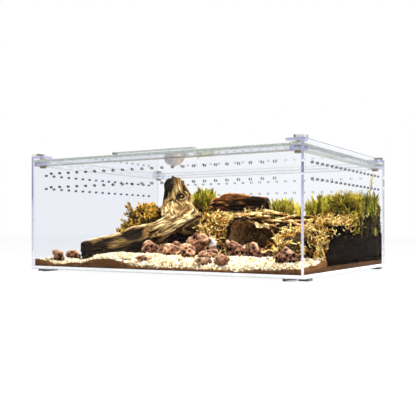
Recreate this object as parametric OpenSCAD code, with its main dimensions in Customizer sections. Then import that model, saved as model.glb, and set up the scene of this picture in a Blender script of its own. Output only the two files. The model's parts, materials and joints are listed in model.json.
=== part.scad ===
// Low clear reptile terrarium with a lift-off magnetic lid, corner feet that stack
// on the lid of a box below, and a planted landscape of wood, stone, bark and moss.
// Millimetres. The origin is on the ground under the middle, and the front faces -Y.

/* [Box] */
// Outside width of the box
box_w = 400; // [320:5:500]
// Outside depth of the box, front to back
box_d = 300; // [240:5:380]
// Height from the top of the base plate to the underside of the lid
cabin_h = 141; // [115:1:180]
// Thickness of the wall panels
wall_t = 3; // [2:0.5:5]
// Thickness of the base plate
base_t = 4; // [3:0.5:8]
// Gap between the lid and the tops of the front and back panels
panel_gap = 0.3; // [0.1:0.1:0.8]

/* [Ventilation] */
// Diameter of a vent hole
vent_d = 3.2; // [2:0.1:5]
// Holes in one row of the front and back panels
vent_count_wide = 23; // [6:1:25]
// Holes in one row of a side panel
vent_count_deep = 17; // [5:1:18]
// From a box corner to the first hole of a wide row
vent_margin_wide = 35; // [20:1:50]
// From a box corner to the first hole of a deep row
vent_margin_deep = 27; // [20:1:50]
// From the underside of the lid down to the upper row
vent_drop = 16.5; // [12:0.5:30]
// From the upper row down to the lower row
vent_row_gap = 18.3; // [8:0.1:30]

/* [Lid] */
// Thickness of the lid plate
lid_t = 3; // [2:0.5:5]
// Gap between the lid plate and each side panel
lid_gap = 0.5; // [0.3:0.1:1.5]
// Length of the finger strip on the front edge
strip_l = 120; // [60:5:200]
// Width of the finger strip, front to back
strip_w = 8; // [5:1:20]
// Thickness of the finger strip
strip_t = 3; // [2:0.5:5]

/* [Corners] */
// Side of the square shelf under a lid corner and of the square plate over it
pad_side = 15; // [13:0.5:24]
// Thickness of the shelf under a lid corner, and of the ledge between the shelves
shelf_t = 5; // [3:0.5:8]
// Width of the ledge that runs along each wall
ledge_w = 10; // [5:0.5:12]
// Thickness of the square plate over a lid corner
pad_t = 3; // [2:0.5:5]
// Diameter of a disc magnet
magnet_d = 8.7; // [6:0.1:11]
// Thickness of a disc magnet
magnet_t = 2.5; // [2:0.1:4]
// Gap between the plates over the lid corners and the level of the side panels' tops
rim_drop = 0.3; // [0.2:0.1:1]

/* [Stacking] */
// Side of the square stacking block on a top corner
block_side = 12; // [8:0.5:16]
// Outside length of a foot along each edge of the base
foot_side = 25; // [22:0.5:40]
// Thickness of a foot, which is also the height of a stacking block
foot_t = 3; // [2:0.5:6]
// Gap around a stacking block in the notch of the foot above it
stack_gap = 0.5; // [0.2:0.1:1.5]

/* [Landscape] */
// Depth of the soil along the front and the left
soil_low = 6; // [4:0.5:8]
// Depth of the soil in the raised middle and rear
soil_high = 13; // [10:0.5:16]
// Depth of the wood chips scattered on the soil
chip_t = 2.5; // [1.5:0.5:4]
// Gap between the soil or plants and the panels
soil_gap = 0.4; // [0.3:0.1:1.5]
// Wall thickness of the cork hide
hide_t = 6; // [4:0.5:9]

/* [Hidden] */
CORNERS = [["front_left", -1, -1], ["front_right", 1, -1], ["back_left", -1, 1], ["back_right", 1, 1]];
hole_fn = 24;
half_w = box_w / 2;
half_d = box_d / 2;
inner_w = half_w - wall_t;
inner_d = half_d - wall_t;
base_top = foot_t + base_t;
lid_z = base_top + cabin_h;
lid_top = lid_z + lid_t;
pad_z = lid_top + magnet_t;
rim_z = pad_z + pad_t;
panel_h = cabin_h - panel_gap;
side_h = rim_z - rim_drop - base_top;
// The landscape is drawn for this cabin and follows the real one
drawn_w = 197;
drawn_d = 147;
drawn_h = 141;
land_x = (inner_w - soil_gap) / drawn_w;
land_y = (inner_d - soil_gap) / drawn_d;
land_z = cabin_h / drawn_h;
// Heights of the flat seats in the landscape, above the base plate
bank_step = 26;
bank_top = 42;
back_top = 82;
centre_top = 75;
right_top = 63;
cap_top = 54;
fern_top = 106;

// Where a point of the drawn landscape lies in the box
function land(p) = [p.x * land_x, p.y * land_y, base_top + p.z * land_z];
function land_flat(points) = [for (p = points) [p.x * land_x, p.y * land_y]];
// A gentle waver around 1 for the natural outlines
function waver(angle, seed, amount) =
    1 + amount * (sin(2 * angle + 97 * seed) + 0.6 * sin(5 * angle + 41 * seed));
function mean_step(path, i) = path[min(i + 1, len(path) - 1)] - path[max(i - 1, 0)];
function beside(step) = [-step.y, step.x, 0] / norm([step.x, step.y, 0.001]);
// Triangles that close a stack of rings, with a middle point under and over it
function skin_faces(rings, sides) = let (low = rings * sides, high = low + 1) concat(
    [for (k = [0:rings - 2]) for (j = [0:sides - 1])
        let (a = k * sides + j, b = k * sides + (j + 1) % sides)
            each [[a, a + sides, b], [b, a + sides, b + sides]]],
    [for (j = [0:sides - 1]) [low, j, (j + 1) % sides]],
    [for (j = [0:sides - 1]) let (last = (rings - 1) * sides) [high, last + (j + 1) % sides, last + j]]
);

module loft(rings) {
    sides = len(rings[0]);
    low = [for (k = [0:2]) [for (p = rings[0]) p[k]] * [for (p = rings[0]) 1] / sides];
    high = [for (k = [0:2]) [for (p = rings[len(rings) - 1]) p[k]] * [for (p = rings[0]) 1] / sides];
    points = concat([for (r = rings) each r], [low, high]);
    polyhedron([for (p = points) land(p)], skin_faces(len(rings), sides), convexity = 6);
}

// A rounded heap or stone: its foot is flat at the level given, and flat is the share of its
// radius that stays level at the top
module heap(place, radii, height, flat = 0.3, amount = 0.05, seed = 1, sides = 16, levels = 5) {
    loft([for (k = [0:levels]) let (t = 90 * k / levels, share = flat + (1 - flat) * cos(t))
        [for (j = [0:sides - 1]) let (a = 360 * j / sides, r = share * waver(a, seed, amount))
            place + [radii.x * r * cos(a), radii.y * r * sin(a), height * sin(t)]]]);
}

// A stone with an overhanging belly
module stone(place, radii, height, seed) {
    belly = [0.73, 0.89, 0.84, 0.59, 0.3];
    levels = len(belly) - 1;
    loft([for (k = [0:levels])
        [for (j = [0:8]) let (a = 40 * j, r = belly[k] * waver(a + 12 * k, seed, 0.07))
            place + [radii.x * r * cos(a), radii.y * r * sin(a), height * k / levels]]]);
}

// A limb of wood along a path, in upright oval slices that are cut flat at floor_z
module limb(path, half_widths, half_heights, floor_z, sides = 12) {
    loft([for (i = [0:len(path) - 1]) let (side = beside(mean_step(path, i)))
        [for (j = [0:sides - 1]) let (a = -360 * j / sides, r = waver(a, i, 0.04),
            p = path[i] + side * half_widths[i] * r * cos(a) + [0, 0, half_heights[i] * r * sin(a)])
            [p.x, p.y, max(p.z, floor_z)]]]);
}

// A standing trunk along a path, in level oval slices
module trunk(path, half_widths, half_depths, sides = 12) {
    loft([for (i = [0:len(path) - 1])
        [for (j = [0:sides - 1]) let (a = 360 * j / sides, r = waver(a, i, 0.04))
            path[i] + [half_widths[i] * r * cos(a), half_depths[i] * r * sin(a), 0]]]);
}

// A plant that rises from a foot and leans towards its tip in level oval slices
module tuft(foot, tip, foot_r, belly_r, tip_r, seed, sides = 10) {
    shares = [0, 0.35, 0.7, 1];
    radii = [foot_r, belly_r, (belly_r + tip_r) / 2, tip_r];
    loft([for (k = [0:3])
        [for (j = [0:sides - 1]) let (a = 360 * j / sides, r = radii[k] * waver(a, seed + k, 0.06))
            foot + (tip - foot) * shares[k] + [r * cos(a), r * sin(a), 0]]]);
}

module corner_square(c, outer, side, low, thick) {
    square_points = [[0, 0], [side, 0], [side, side], [0, side]];
    translate([0, 0, low])
        linear_extrude(thick)
            polygon([for (p = square_points) [c[1] * (outer.x - p.x), c[2] * (outer.y - p.y)]]);
}

module corner_disc(c, low) {
    inset = pad_side / 2;
    translate([c[1] * (inner_w - lid_gap - inset), c[2] * (inner_d - lid_gap - inset), low])
        cylinder(d = magnet_d, h = magnet_t, $fn = 48);
}

// An upright panel along X with its two rows of vent holes
module vent_panel(length, height, count, margin) {
    pitch = (length - 2 * margin) / (count - 1);
    upper_z = cabin_h - vent_drop;
    difference() {
        translate([-length / 2, -wall_t / 2, 0])
            cube([length, wall_t, height]);
        for (row_z = [upper_z, upper_z - vent_row_gap])
            for (i = [0:count - 1])
                translate([margin - length / 2 + i * pitch, 0, row_z])
                    rotate([90, 0, 0])
                        cylinder(d = vent_d, h = wall_t + 2, center = true, $fn = hole_fn);
    }
}

module base_plate() {
    color("gainsboro")
        translate([-half_w, -half_d, foot_t])
            cube([box_w, box_d, base_t]);
}

module wide_panel(side) {
    color("aliceblue")
        translate([0, side * (half_d - wall_t / 2), base_top])
            vent_panel(2 * inner_w, panel_h, vent_count_wide, vent_margin_wide - wall_t);
}

module side_panel(side) {
    color("lavender")
        translate([side * (half_w - wall_t / 2), 0, base_top])
            rotate([0, 0, 90])
                vent_panel(box_d, side_h, vent_count_deep, vent_margin_deep);
}

module wide_ledge(side) {
    length = 2 * (inner_w - pad_side);
    color("lightgray")
        translate([-length / 2, side > 0 ? inner_d - ledge_w : -inner_d, lid_z - shelf_t])
            cube([length, ledge_w, shelf_t]);
}

module side_ledge(side) {
    length = 2 * (inner_d - pad_side);
    color("lightgray")
        translate([side > 0 ? inner_w - ledge_w : -inner_w, -length / 2, lid_z - shelf_t])
            cube([ledge_w, length, shelf_t]);
}

// An L shaped foot, notched to fit round the stacking block of a box below
module foot(c) {
    notch = block_side + stack_gap;
    outline = [
        [notch, 0], [foot_side, 0], [foot_side, foot_side],
        [0, foot_side], [0, notch], [notch, notch]
    ];
    color("dimgray")
        linear_extrude(foot_t)
            polygon([for (p = outline) [c[1] * (half_w - p.x), c[2] * (half_d - p.y)]]);
}

module corner_shelf(c) {
    color("thistle")
        corner_square(c, [inner_w, inner_d], pad_side, lid_z - shelf_t, shelf_t);
}

module shelf_magnet(c) {
    color("silver")
        corner_disc(c, lid_z - shelf_t - magnet_t);
}

module lid_plate() {
    width = 2 * (inner_w - lid_gap);
    color("honeydew")
        translate([-width / 2, -half_d, lid_z])
            cube([width, box_d, lid_t]);
}

module finger_strip() {
    color("whitesmoke")
        translate([-strip_l / 2, -half_d, lid_top])
            cube([strip_l, strip_w, strip_t]);
}

module lid_magnet(c) {
    color("silver")
        corner_disc(c, lid_top);
}

module lid_corner_plate(c) {
    color("thistle")
        corner_square(c, [inner_w - lid_gap, half_d], pad_side + wall_t, pad_z, pad_t);
}

module stacking_block(c) {
    color("white")
        corner_square(c, [half_w, half_d], block_side, rim_z, foot_t);
}

// Soil: a low bed all over, with a raised stretch from the middle to the rear
module soil_bed() {
    floor_outline = [[-drawn_w, -drawn_d], [drawn_w, -drawn_d], [drawn_w, drawn_d], [-drawn_w, drawn_d]];
    front_edge = [for (x = [-140:20:180]) [x, -104 + 4 * sin(3.1 * x)]];
    rear_edge = [[drawn_w, -106], [drawn_w, drawn_d], [-149, drawn_d], [-149, -30]];
    raised_outline = concat(front_edge, rear_edge);
    color("saddlebrown") {
        translate([0, 0, base_top]) {
            linear_extrude(soil_low * land_z)
                polygon(land_flat(floor_outline));
            linear_extrude(soil_high * land_z)
                polygon(land_flat(raised_outline));
        }
    }
}

// Wood chips: one scatter on the low bed and one on the raised soil behind it
module chip_layer() {
    low = [[-196, -146], [196, -146], [196, -111], [-146, -111], [-153, -25], [-196, -25]];
    high = [[-95, -97], [140, -97], [136, -86], [118, -72], [60, -70], [-95, -78]];
    stones_low = [[-173, -127], [-181, -88], [-29, -127], [64, -132], [85, -128]];
    stones_high = [[-29, -63], [12, -84], [42, -84], [34, -64]];
    color("wheat") {
        scatter(low, soil_low, [for (s = stones_low) concat(s, 13)]);
        scatter(high, soil_high, [for (s = stones_high) concat(s, 18)]);
    }
}

// A level scatter with a round clearing left for each stone
module scatter(outline, level, clearings) {
    translate([0, 0, base_top + level * land_z])
        linear_extrude(chip_t * land_z)
            difference() {
                polygon(land_flat(outline));
                for (s = clearings)
                    polygon(land_flat([for (a = [0:30:330]) [s.x + s.z * cos(a), s.y + s.z * sin(a)]]));
            }
}

// The dark soil bank along the right wall, lower in front
module soil_bank() {
    left = 163;
    color("darkolivegreen")
        translate([0, 0, base_top + soil_high * land_z]) {
            linear_extrude((bank_step - soil_high) * land_z)
                polygon(land_flat([[left, -24], [196, -72], [196, drawn_d - 1], [left, drawn_d - 1]]));
            linear_extrude((bank_top - soil_high) * land_z)
                polygon(land_flat([[left, -14], [196, -60], [196, drawn_d - 1], [left, drawn_d - 1]]));
        }
}

module driftwood_limb() {
    near_half = [[-158, -86, 18], [-140, -50, 25], [-128, -18, 31], [-111, 9, 43]];
    far_half = [[-95, 22, 50], [-77, 33, 60], [-60, 41, 67]];
    half_heights = [13, 17, 20, 17, 13, 8, 4];
    color("peru")
        limb(concat(near_half, far_half), [12, 14, 16, 16, 15, 12, 8], half_heights, soil_high);
}

module driftwood_stump() {
    base_half = [[-92, 63, soil_high], [-93, 65, 33], [-94, 67, 53], [-96, 69, 69]];
    neck_half = [[-105, 71, 90], [-109, 72, 112], [-117, 73, 129]];
    color("sienna")
        trunk(concat(base_half, neck_half), [24, 26, 29, 30, 24, 19, 13], [14, 15, 16, 15, 13, 11, 7]);
}

// The thick plate of bark that lies on the centre bank
module bark_slab() {
    left_half = [[-42, 73, 86], [-30, 73, 88], [-14, 74, 89], [4, 75, 88]];
    right_half = [[22, 76, 87], [36, 77, 86], [46, 78, 85]];
    half_heights = [6, 10, 13, 14, 13, 12, 11];
    color("rosybrown")
        limb(concat(left_half, right_half), [9, 14, 17, 18, 17, 17, 16], half_heights, centre_top);
}

// Half a tube of cork bark, open at the front as a hide
module cork_hide() {
    middle = [71, soil_high];
    front = -12;
    back = 48;
    left_rim = [[31, 13], [29.5, 30], [32, 54], [40, 64], [53, 67], [65, 63]];
    right_rim = [[76, 56], [90, 55], [99, 51], [107, 42], [112, 26], [112, 13]];
    outer = concat(left_rim, right_rim);
    inner = [for (i = [len(outer) - 1:-1:0]) middle + (outer[i] - middle) * (1 - hide_t / 42)];
    color("burlywood")
        translate([0, back * land_y, base_top])
            rotate([90, 0, 0])
                linear_extrude((back - front) * land_y)
                    polygon([for (p = concat(outer, inner)) [p.x * land_x, p.y * land_z]]);
}

module lava_rocks_front() {
    color("indianred") {
        stone([-173, -127, soil_low], [9, 8.5], 16, 1);
        stone([-181, -88, soil_low], [10, 10], 16, 2);
        stone([-29, -127, soil_low], [12, 10], 14, 3);
        stone([64, -132, soil_low], [8, 7.5], 11, 4);
        stone([85, -128, soil_low], [10, 9], 17, 5);
    }
}

module lava_rocks_middle() {
    color("brown") {
        stone([-29, -63, soil_high], [12, 11], 22, 6);
        stone([-11, -53, soil_high], [7, 7], 18, 7);
        stone([12, -84, soil_high], [11, 11], 20, 8);
        stone([42, -84, soil_high], [11, 10], 16, 9);
        stone([34, -63, soil_high], [9, 9], 17, 10);
        stone([62, -52, soil_high], [13, 12], 22, 11);
        stone([86, -43, soil_high], [9, 9], 19, 12);
        stone([106, -58, soil_high], [10, 9], 13, 13);
        stone([158, -98, soil_high], [13, 11], 23, 14);
    }
}

module lava_rocks_rear() {
    color("firebrick") {
        stone([-79, -38, soil_high], [12, 12], 22, 15);
        stone([-57, -32, soil_high], [9, 9], 20, 16);
        stone([-36, -30, soil_high], [9, 9], 22, 17);
        stone([-9, -26, soil_high], [17, 14], 35, 18);
        stone([71, -26, soil_high], [10, 9], 20, 19);
    }
}

module pale_stone() {
    color("lightgray")
        stone([4, -8, soil_high], [7, 6.5], 28, 13);
}

module moss_bank_left() {
    color("olive")
        heap([-167, 74, soil_high], [22, 54], 72, flat = 0.5, seed = 3);
}

module moss_bank_back() {
    color("olivedrab")
        heap([-86, 114, soil_high], [44, 26], back_top - soil_high, flat = 0.6, seed = 5);
}

module moss_bank_centre() {
    color("darkkhaki")
        heap([26, 95, soil_high], [61, 44], centre_top - soil_high, flat = 0.7, seed = 7);
}

module moss_bank_right() {
    color("goldenrod")
        heap([138, 62, soil_high], [21, 65], right_top - soil_high, flat = 0.6, seed = 8, amount = 0.03);
}

// The straw heap between the hide and the dark soil
module straw_slope() {
    color("palegoldenrod")
        heap([142, -46, soil_high], [20, 40], 34, flat = 0.4, seed = 11, amount = 0.02);
}

module dry_moss_front() {
    color("khaki")
        heap([-8, 23, soil_high], [22, 21], 55, seed = 9);
}

module dry_moss_cap() {
    color("gold")
        heap([179.5, 57, bank_top], [15.5, 85], cap_top - bank_top, flat = 0.85, seed = 4, amount = 0.015);
}

module fern_mound() {
    color("yellowgreen")
        heap([179.5, 80, cap_top], [15.5, 62], fern_top - cap_top, flat = 0.7, seed = 6, amount = 0.015);
}

module fern_sprig() {
    color("greenyellow")
        tuft([186, 106, fern_top], [190, 118, 126], 2.5, 3, 1, 2);
}

module grass_tuft_back() {
    color("yellowgreen")
        tuft([-82, 116, back_top], [-78, 117, 116], 10, 15, 11, 3);
}

module grass_tuft_centre() {
    color("greenyellow")
        tuft([52, 112, centre_top], [56, 113, 103], 8, 12, 10, 4);
}

module grass_tuft_right() {
    color("greenyellow")
        tuft([137, 76, right_top], [139, 78, 103], 9, 13, 11, 5);
}

base_plate();
wide_panel(-1);  // front_panel
wide_panel(1);  // back_panel
side_panel(-1);  // left_panel
side_panel(1);  // right_panel
wide_ledge(-1);  // front_ledge
wide_ledge(1);  // back_ledge
side_ledge(-1);  // left_ledge
side_ledge(1);  // right_ledge
for (c = CORNERS) {
    foot(c);
    corner_shelf(c);
    shelf_magnet(c);
    lid_magnet(c);
    lid_corner_plate(c);
    stacking_block(c);
}
lid_plate();
finger_strip();
soil_bed();
chip_layer();
soil_bank();
driftwood_limb();
driftwood_stump();
bark_slab();
cork_hide();
lava_rocks_front();
lava_rocks_middle();
lava_rocks_rear();
pale_stone();
moss_bank_left();
moss_bank_back();
moss_bank_centre();
moss_bank_right();
straw_slope();
dry_moss_front();
dry_moss_cap();
fern_mound();
fern_sprig();
grass_tuft_back();
grass_tuft_centre();
grass_tuft_right();
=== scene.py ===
"""A planted reptile terrarium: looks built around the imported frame, in its own frame.

Shapes are worked out in millimetres and turned into metres when a mesh is made. The box is clear
acrylic with cut edges, and the landscape inside is wood, stone, bark, soil and several mosses.
"""
import itertools
import json
import math

import bmesh
import bpy
import numpy as np
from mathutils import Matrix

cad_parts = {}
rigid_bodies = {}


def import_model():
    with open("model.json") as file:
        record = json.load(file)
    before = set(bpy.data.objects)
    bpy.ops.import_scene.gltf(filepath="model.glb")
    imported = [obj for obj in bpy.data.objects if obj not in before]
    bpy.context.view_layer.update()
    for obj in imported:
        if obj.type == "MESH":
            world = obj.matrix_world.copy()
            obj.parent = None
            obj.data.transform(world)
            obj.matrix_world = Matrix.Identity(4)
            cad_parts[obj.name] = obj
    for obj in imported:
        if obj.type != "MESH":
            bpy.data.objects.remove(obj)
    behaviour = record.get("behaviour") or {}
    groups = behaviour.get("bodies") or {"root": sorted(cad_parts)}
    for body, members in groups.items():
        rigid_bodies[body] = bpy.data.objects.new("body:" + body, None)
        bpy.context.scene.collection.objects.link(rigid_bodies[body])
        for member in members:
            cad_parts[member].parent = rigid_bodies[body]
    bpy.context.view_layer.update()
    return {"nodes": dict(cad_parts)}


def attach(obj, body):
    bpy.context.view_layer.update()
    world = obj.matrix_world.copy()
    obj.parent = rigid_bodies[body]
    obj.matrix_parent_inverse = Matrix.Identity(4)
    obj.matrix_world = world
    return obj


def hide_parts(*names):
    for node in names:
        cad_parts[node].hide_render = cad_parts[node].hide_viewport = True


MM = 0.001

# The camera that was fitted to the vent holes and the box's edges
LENS = 59.41
SENSOR = 36.0
SHIFT_Y = 0.0499
CAMERA_PLACE = (0.4865, -0.8359, 0.05745)
CAMERA_TURN = 30.62

# Places that the landscape shares, in millimetres
BASE_TOP = 7.0
PANE_X = 196.5
PANE_Y = 146.5
ROW_HEIGHTS = (131.5, 113.2)

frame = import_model()
scene = bpy.context.scene
scene.view_settings.view_transform = "Standard"


# Noise for shapes, on arrays of points in millimetres

def lattice(cells, seed):
    """A repeatable random value from 0 to 1 for each whole-number cell."""
    x, y, z = (cells[..., axis].astype(np.uint32) for axis in range(3))
    mixed = (x * np.uint32(73856093)) ^ (y * np.uint32(19349663)) ^ (z * np.uint32(83492791))
    mixed ^= np.uint32((seed * 2654435761 + 97) % 2**32)
    mixed ^= mixed >> np.uint32(13)
    mixed *= np.uint32(1274126177)
    mixed ^= mixed >> np.uint32(16)
    return (mixed & np.uint32(0xFFFFFF)) / float(0xFFFFFF)


def noise(points, size, seed=0):
    """Smooth noise from -1 to 1, with lumps of about this size."""
    scaled = points / size
    cell = np.floor(scaled).astype(np.int64)
    share = scaled - cell
    share = share * share * (3 - 2 * share)
    total = np.zeros(len(points))
    for corner in itertools.product((0, 1), repeat=3):
        weight = np.prod(np.where(corner, share, 1 - share), axis=1)
        total += weight * lattice(cell + np.array(corner), seed)
    return 2 * total - 1


def layered(points, size, octaves=3, seed=0):
    """Noise with finer noise on it, each layer half as large and half as strong."""
    total = np.zeros(len(points))
    for octave in range(octaves):
        total += noise(points, size / 2**octave, seed + octave) / 2**octave
    return total


def cracks(points, size, width, seed=0):
    """1 in the middle of thin wandering lines and 0 between them."""
    return np.exp(-(noise(points, size, seed) / width) ** 2)


def pores(points, size, seed=0):
    """Distance to the nearest of many scattered points, as a share of the cell size."""
    scaled = points / size
    cell = np.floor(scaled).astype(np.int64)
    nearest = np.full(len(points), 9.0)
    for corner in itertools.product((-1, 0, 1), repeat=3):
        near = cell + np.array(corner)
        jitter = np.stack([lattice(near, seed + axis) for axis in range(3)], axis=1)
        nearest = np.minimum(nearest, np.linalg.norm(near + jitter - scaled, axis=1))
    return nearest


def ramp(value, low, high):
    """0 below low, 1 above high, and smooth between them."""
    share = np.clip((value - low) / (high - low), 0, 1)
    return share * share * (3 - 2 * share)


def smooth_run(stations, count):
    """Points of a smooth curve through the stations."""
    stations = np.asarray(stations, float)
    last = len(stations) - 1
    t = np.linspace(0, last, count)
    i = np.minimum(t.astype(int), last - 1)
    f = (t - i)[:, None]
    before, here, after, beyond = (stations[np.clip(i + step, 0, last)] for step in (-1, 0, 1, 2))
    curve = 2 * here + (after - before) * f
    curve += (2 * before - 5 * here + 4 * after - beyond) * f**2
    curve += (3 * here - before - 3 * after + beyond) * f**3
    return curve / 2


def blob(points, centre, radius):
    """1 at the centre and 0 beyond the radius."""
    far = np.linalg.norm((points - np.array(centre)) / np.asarray(radius, float), axis=1)
    return 1 - ramp(far, 0, 1)


# Meshes

def make_object(name, points, faces, values=None):
    """A mesh object from points in millimetres, with a named value for each point."""
    mesh = bpy.data.meshes.new(name)
    mesh.from_pydata((np.asarray(points) * MM).tolist(), [], faces)
    for label, numbers in (values or {}).items():
        store = mesh.attributes.new(label, "FLOAT", "POINT")
        store.data.foreach_set("value", np.asarray(numbers, np.float32))
    mesh.shade_smooth()
    piece = bpy.data.objects.new(name, mesh)
    scene.collection.objects.link(piece)
    return piece


def finish_piece(piece, material, slot, *nodes, body="box"):
    """Gives a piece its material, and lets it ride and stand for its CAD nodes."""
    if material is not None:
        piece.data.materials.clear()
        piece.data.materials.append(material)
    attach(piece, body)
    if nodes:
        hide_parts(*nodes)
    return piece


def ring_faces(rings, sides):
    """Quads between closed rings, then a fan at each end to the last two points."""
    faces = []
    for k in range(rings - 1):
        for j in range(sides):
            a, b = k * sides + j, k * sides + (j + 1) % sides
            faces.append((a, b, b + sides, a + sides))
    low, high, last = rings * sides, rings * sides + 1, (rings - 1) * sides
    for j in range(sides):
        after = (j + 1) % sides
        faces.append((low, after, j))
        faces.append((high, last + j, last + after))
    return faces


def with_ends(rings):
    """The points of all rings, then the middle of the first ring and of the last."""
    middles = np.stack([rings[0].mean(axis=0), rings[-1].mean(axis=0)])
    return np.concatenate([rings.reshape(-1, 3), middles])


def join_parts(parts):
    """One list of points, faces and values from several."""
    points, faces, values, start = [], [], {}, 0
    for part_points, part_faces, part_values in parts:
        points.append(part_points)
        faces += [tuple(v + start for v in face) for face in part_faces]
        for label, numbers in part_values.items():
            values.setdefault(label, []).append(np.broadcast_to(numbers, len(part_points)))
        start += len(part_points)
    return np.concatenate(points), faces, {label: np.concatenate(v) for label, v in values.items()}


# Nodes

def add(tree, kind, inputs=None, **settings):
    """A node with its settings made and its inputs set, or linked where a socket is given."""
    node = tree.nodes.new(kind)
    for name, value in settings.items():
        setattr(node, name, value)
    for key, value in (inputs or {}).items():
        if isinstance(key, int):
            socket = node.inputs[key]
        else:
            socket = next(s for s in node.inputs if s.name == key and s.enabled)
        if isinstance(value, bpy.types.NodeSocket):
            tree.links.new(value, socket)
        else:
            socket.default_value = value
    return node


def out(node, name=None):
    """The node's first enabled output, or the one of that name."""
    return next(s for s in node.outputs if s.enabled and name in (None, s.name))


def maths(tree, operation, *values, clamp=False):
    """The result of a Math node."""
    inputs = dict(enumerate(values))
    return add(tree, "ShaderNodeMath", inputs, operation=operation, use_clamp=clamp).outputs[0]


def mixed(tree, share, first, second, kind="MIX"):
    """Two colours mixed by a share."""
    inputs = {"Factor": share, "A": first, "B": second}
    node = add(tree, "ShaderNodeMix", inputs, data_type="RGBA", blend_type=kind)
    return out(node)


def tint(code):
    """The linear colour of a six-digit colour code."""
    parts = [int(code[i:i + 2], 16) / 255 for i in (0, 2, 4)]
    linear = [p / 12.92 if p <= 0.04045 else ((p + 0.055) / 1.055) ** 2.4 for p in parts]
    return (*linear, 1.0)


def open_group(name, kind, inputs, outputs):
    """A new node group with named sockets, its input node and its output node."""
    tree = bpy.data.node_groups.new(name, kind)
    for label, socket, start in inputs:
        made = tree.interface.new_socket(name=label, in_out="INPUT", socket_type=socket)
        if start is not None:
            made.default_value = start
    for label, socket in outputs:
        tree.interface.new_socket(name=label, in_out="OUTPUT", socket_type=socket)
    return tree, tree.nodes.new("NodeGroupInput"), tree.nodes.new("NodeGroupOutput")


def natural_tone_group():
    """Three colours from dark hollow to lit ridge, broken up by patches and by fine grain."""
    inputs = [
        ("Vector", "NodeSocketVector", None),
        ("Relief", "NodeSocketFloat", 0.5),
        ("Dark", "NodeSocketColor", None),
        ("Middle", "NodeSocketColor", None),
        ("Light", "NodeSocketColor", None),
        ("Patch", "NodeSocketColor", None),
        ("Patch size", "NodeSocketFloat", 20.0),
        ("Patch share", "NodeSocketFloat", 0.5),
        ("Grain size", "NodeSocketFloat", 2.0),
        ("Grain share", "NodeSocketFloat", 0.4),
    ]
    outputs = [("Color", "NodeSocketColor"), ("Height", "NodeSocketFloat")]
    outputs.append(("Roughness", "NodeSocketFloat"))
    tree, given, result = open_group("Natural tone", "ShaderNodeTree", inputs, outputs)
    vector = out(given, "Vector")
    fine_scale = maths(tree, "DIVIDE", 1.0 / MM, out(given, "Grain size"))
    wide_scale = maths(tree, "DIVIDE", 1.0 / MM, out(given, "Patch size"))
    fine_inputs = {"Vector": vector, "Scale": fine_scale, "Detail": 5.0, "Roughness": 0.65}
    fine = out(add(tree, "ShaderNodeTexNoise", fine_inputs), "Fac")
    wide_inputs = {"Vector": vector, "Scale": wide_scale, "Detail": 3.0, "Distortion": 0.4}
    wide = out(add(tree, "ShaderNodeTexNoise", wide_inputs), "Fac")
    grain = maths(tree, "MULTIPLY", maths(tree, "SUBTRACT", fine, 0.5), 2.0)
    grain = maths(tree, "MULTIPLY", grain, out(given, "Grain share"))
    value = maths(tree, "ADD", out(given, "Relief"), grain)
    low_inputs = {"Value": value, "From Min": 0.05, "From Max": 0.5}
    low = add(tree, "ShaderNodeMapRange", low_inputs, interpolation_type="SMOOTHSTEP")
    high_inputs = {"Value": value, "From Min": 0.45, "From Max": 0.95}
    high = add(tree, "ShaderNodeMapRange", high_inputs, interpolation_type="SMOOTHSTEP")
    patch_inputs = {"Value": wide, "From Min": 0.45, "From Max": 0.62}
    patch = add(tree, "ShaderNodeMapRange", patch_inputs, interpolation_type="SMOOTHSTEP")
    patch_share = maths(tree, "MULTIPLY", out(patch), out(given, "Patch share"))
    middle = mixed(tree, patch_share, out(given, "Middle"), out(given, "Patch"))
    colour = mixed(tree, out(low), out(given, "Dark"), middle)
    colour = mixed(tree, out(high), colour, out(given, "Light"))
    rough = add(tree, "ShaderNodeMapRange", {"Value": value, "To Min": 0.95, "To Max": 0.6})
    tree.links.new(colour, result.inputs["Color"])
    tree.links.new(value, result.inputs["Height"])
    tree.links.new(out(rough), result.inputs["Roughness"])
    return tree


NATURAL_TONE = natural_tone_group()


def new_material(name):
    material = bpy.data.materials.new(name)
    material.use_nodes = True
    tree = material.node_tree
    tree.nodes.clear()
    return material, tree


def end_material(tree, shader):
    target = tree.nodes.new("ShaderNodeOutputMaterial")
    tree.links.new(shader, target.inputs["Surface"])


def value_of(tree, name, kind="Fac"):
    """A stored value of the piece's own points."""
    return out(add(tree, "ShaderNodeAttribute", attribute_name=name), kind)


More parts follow.
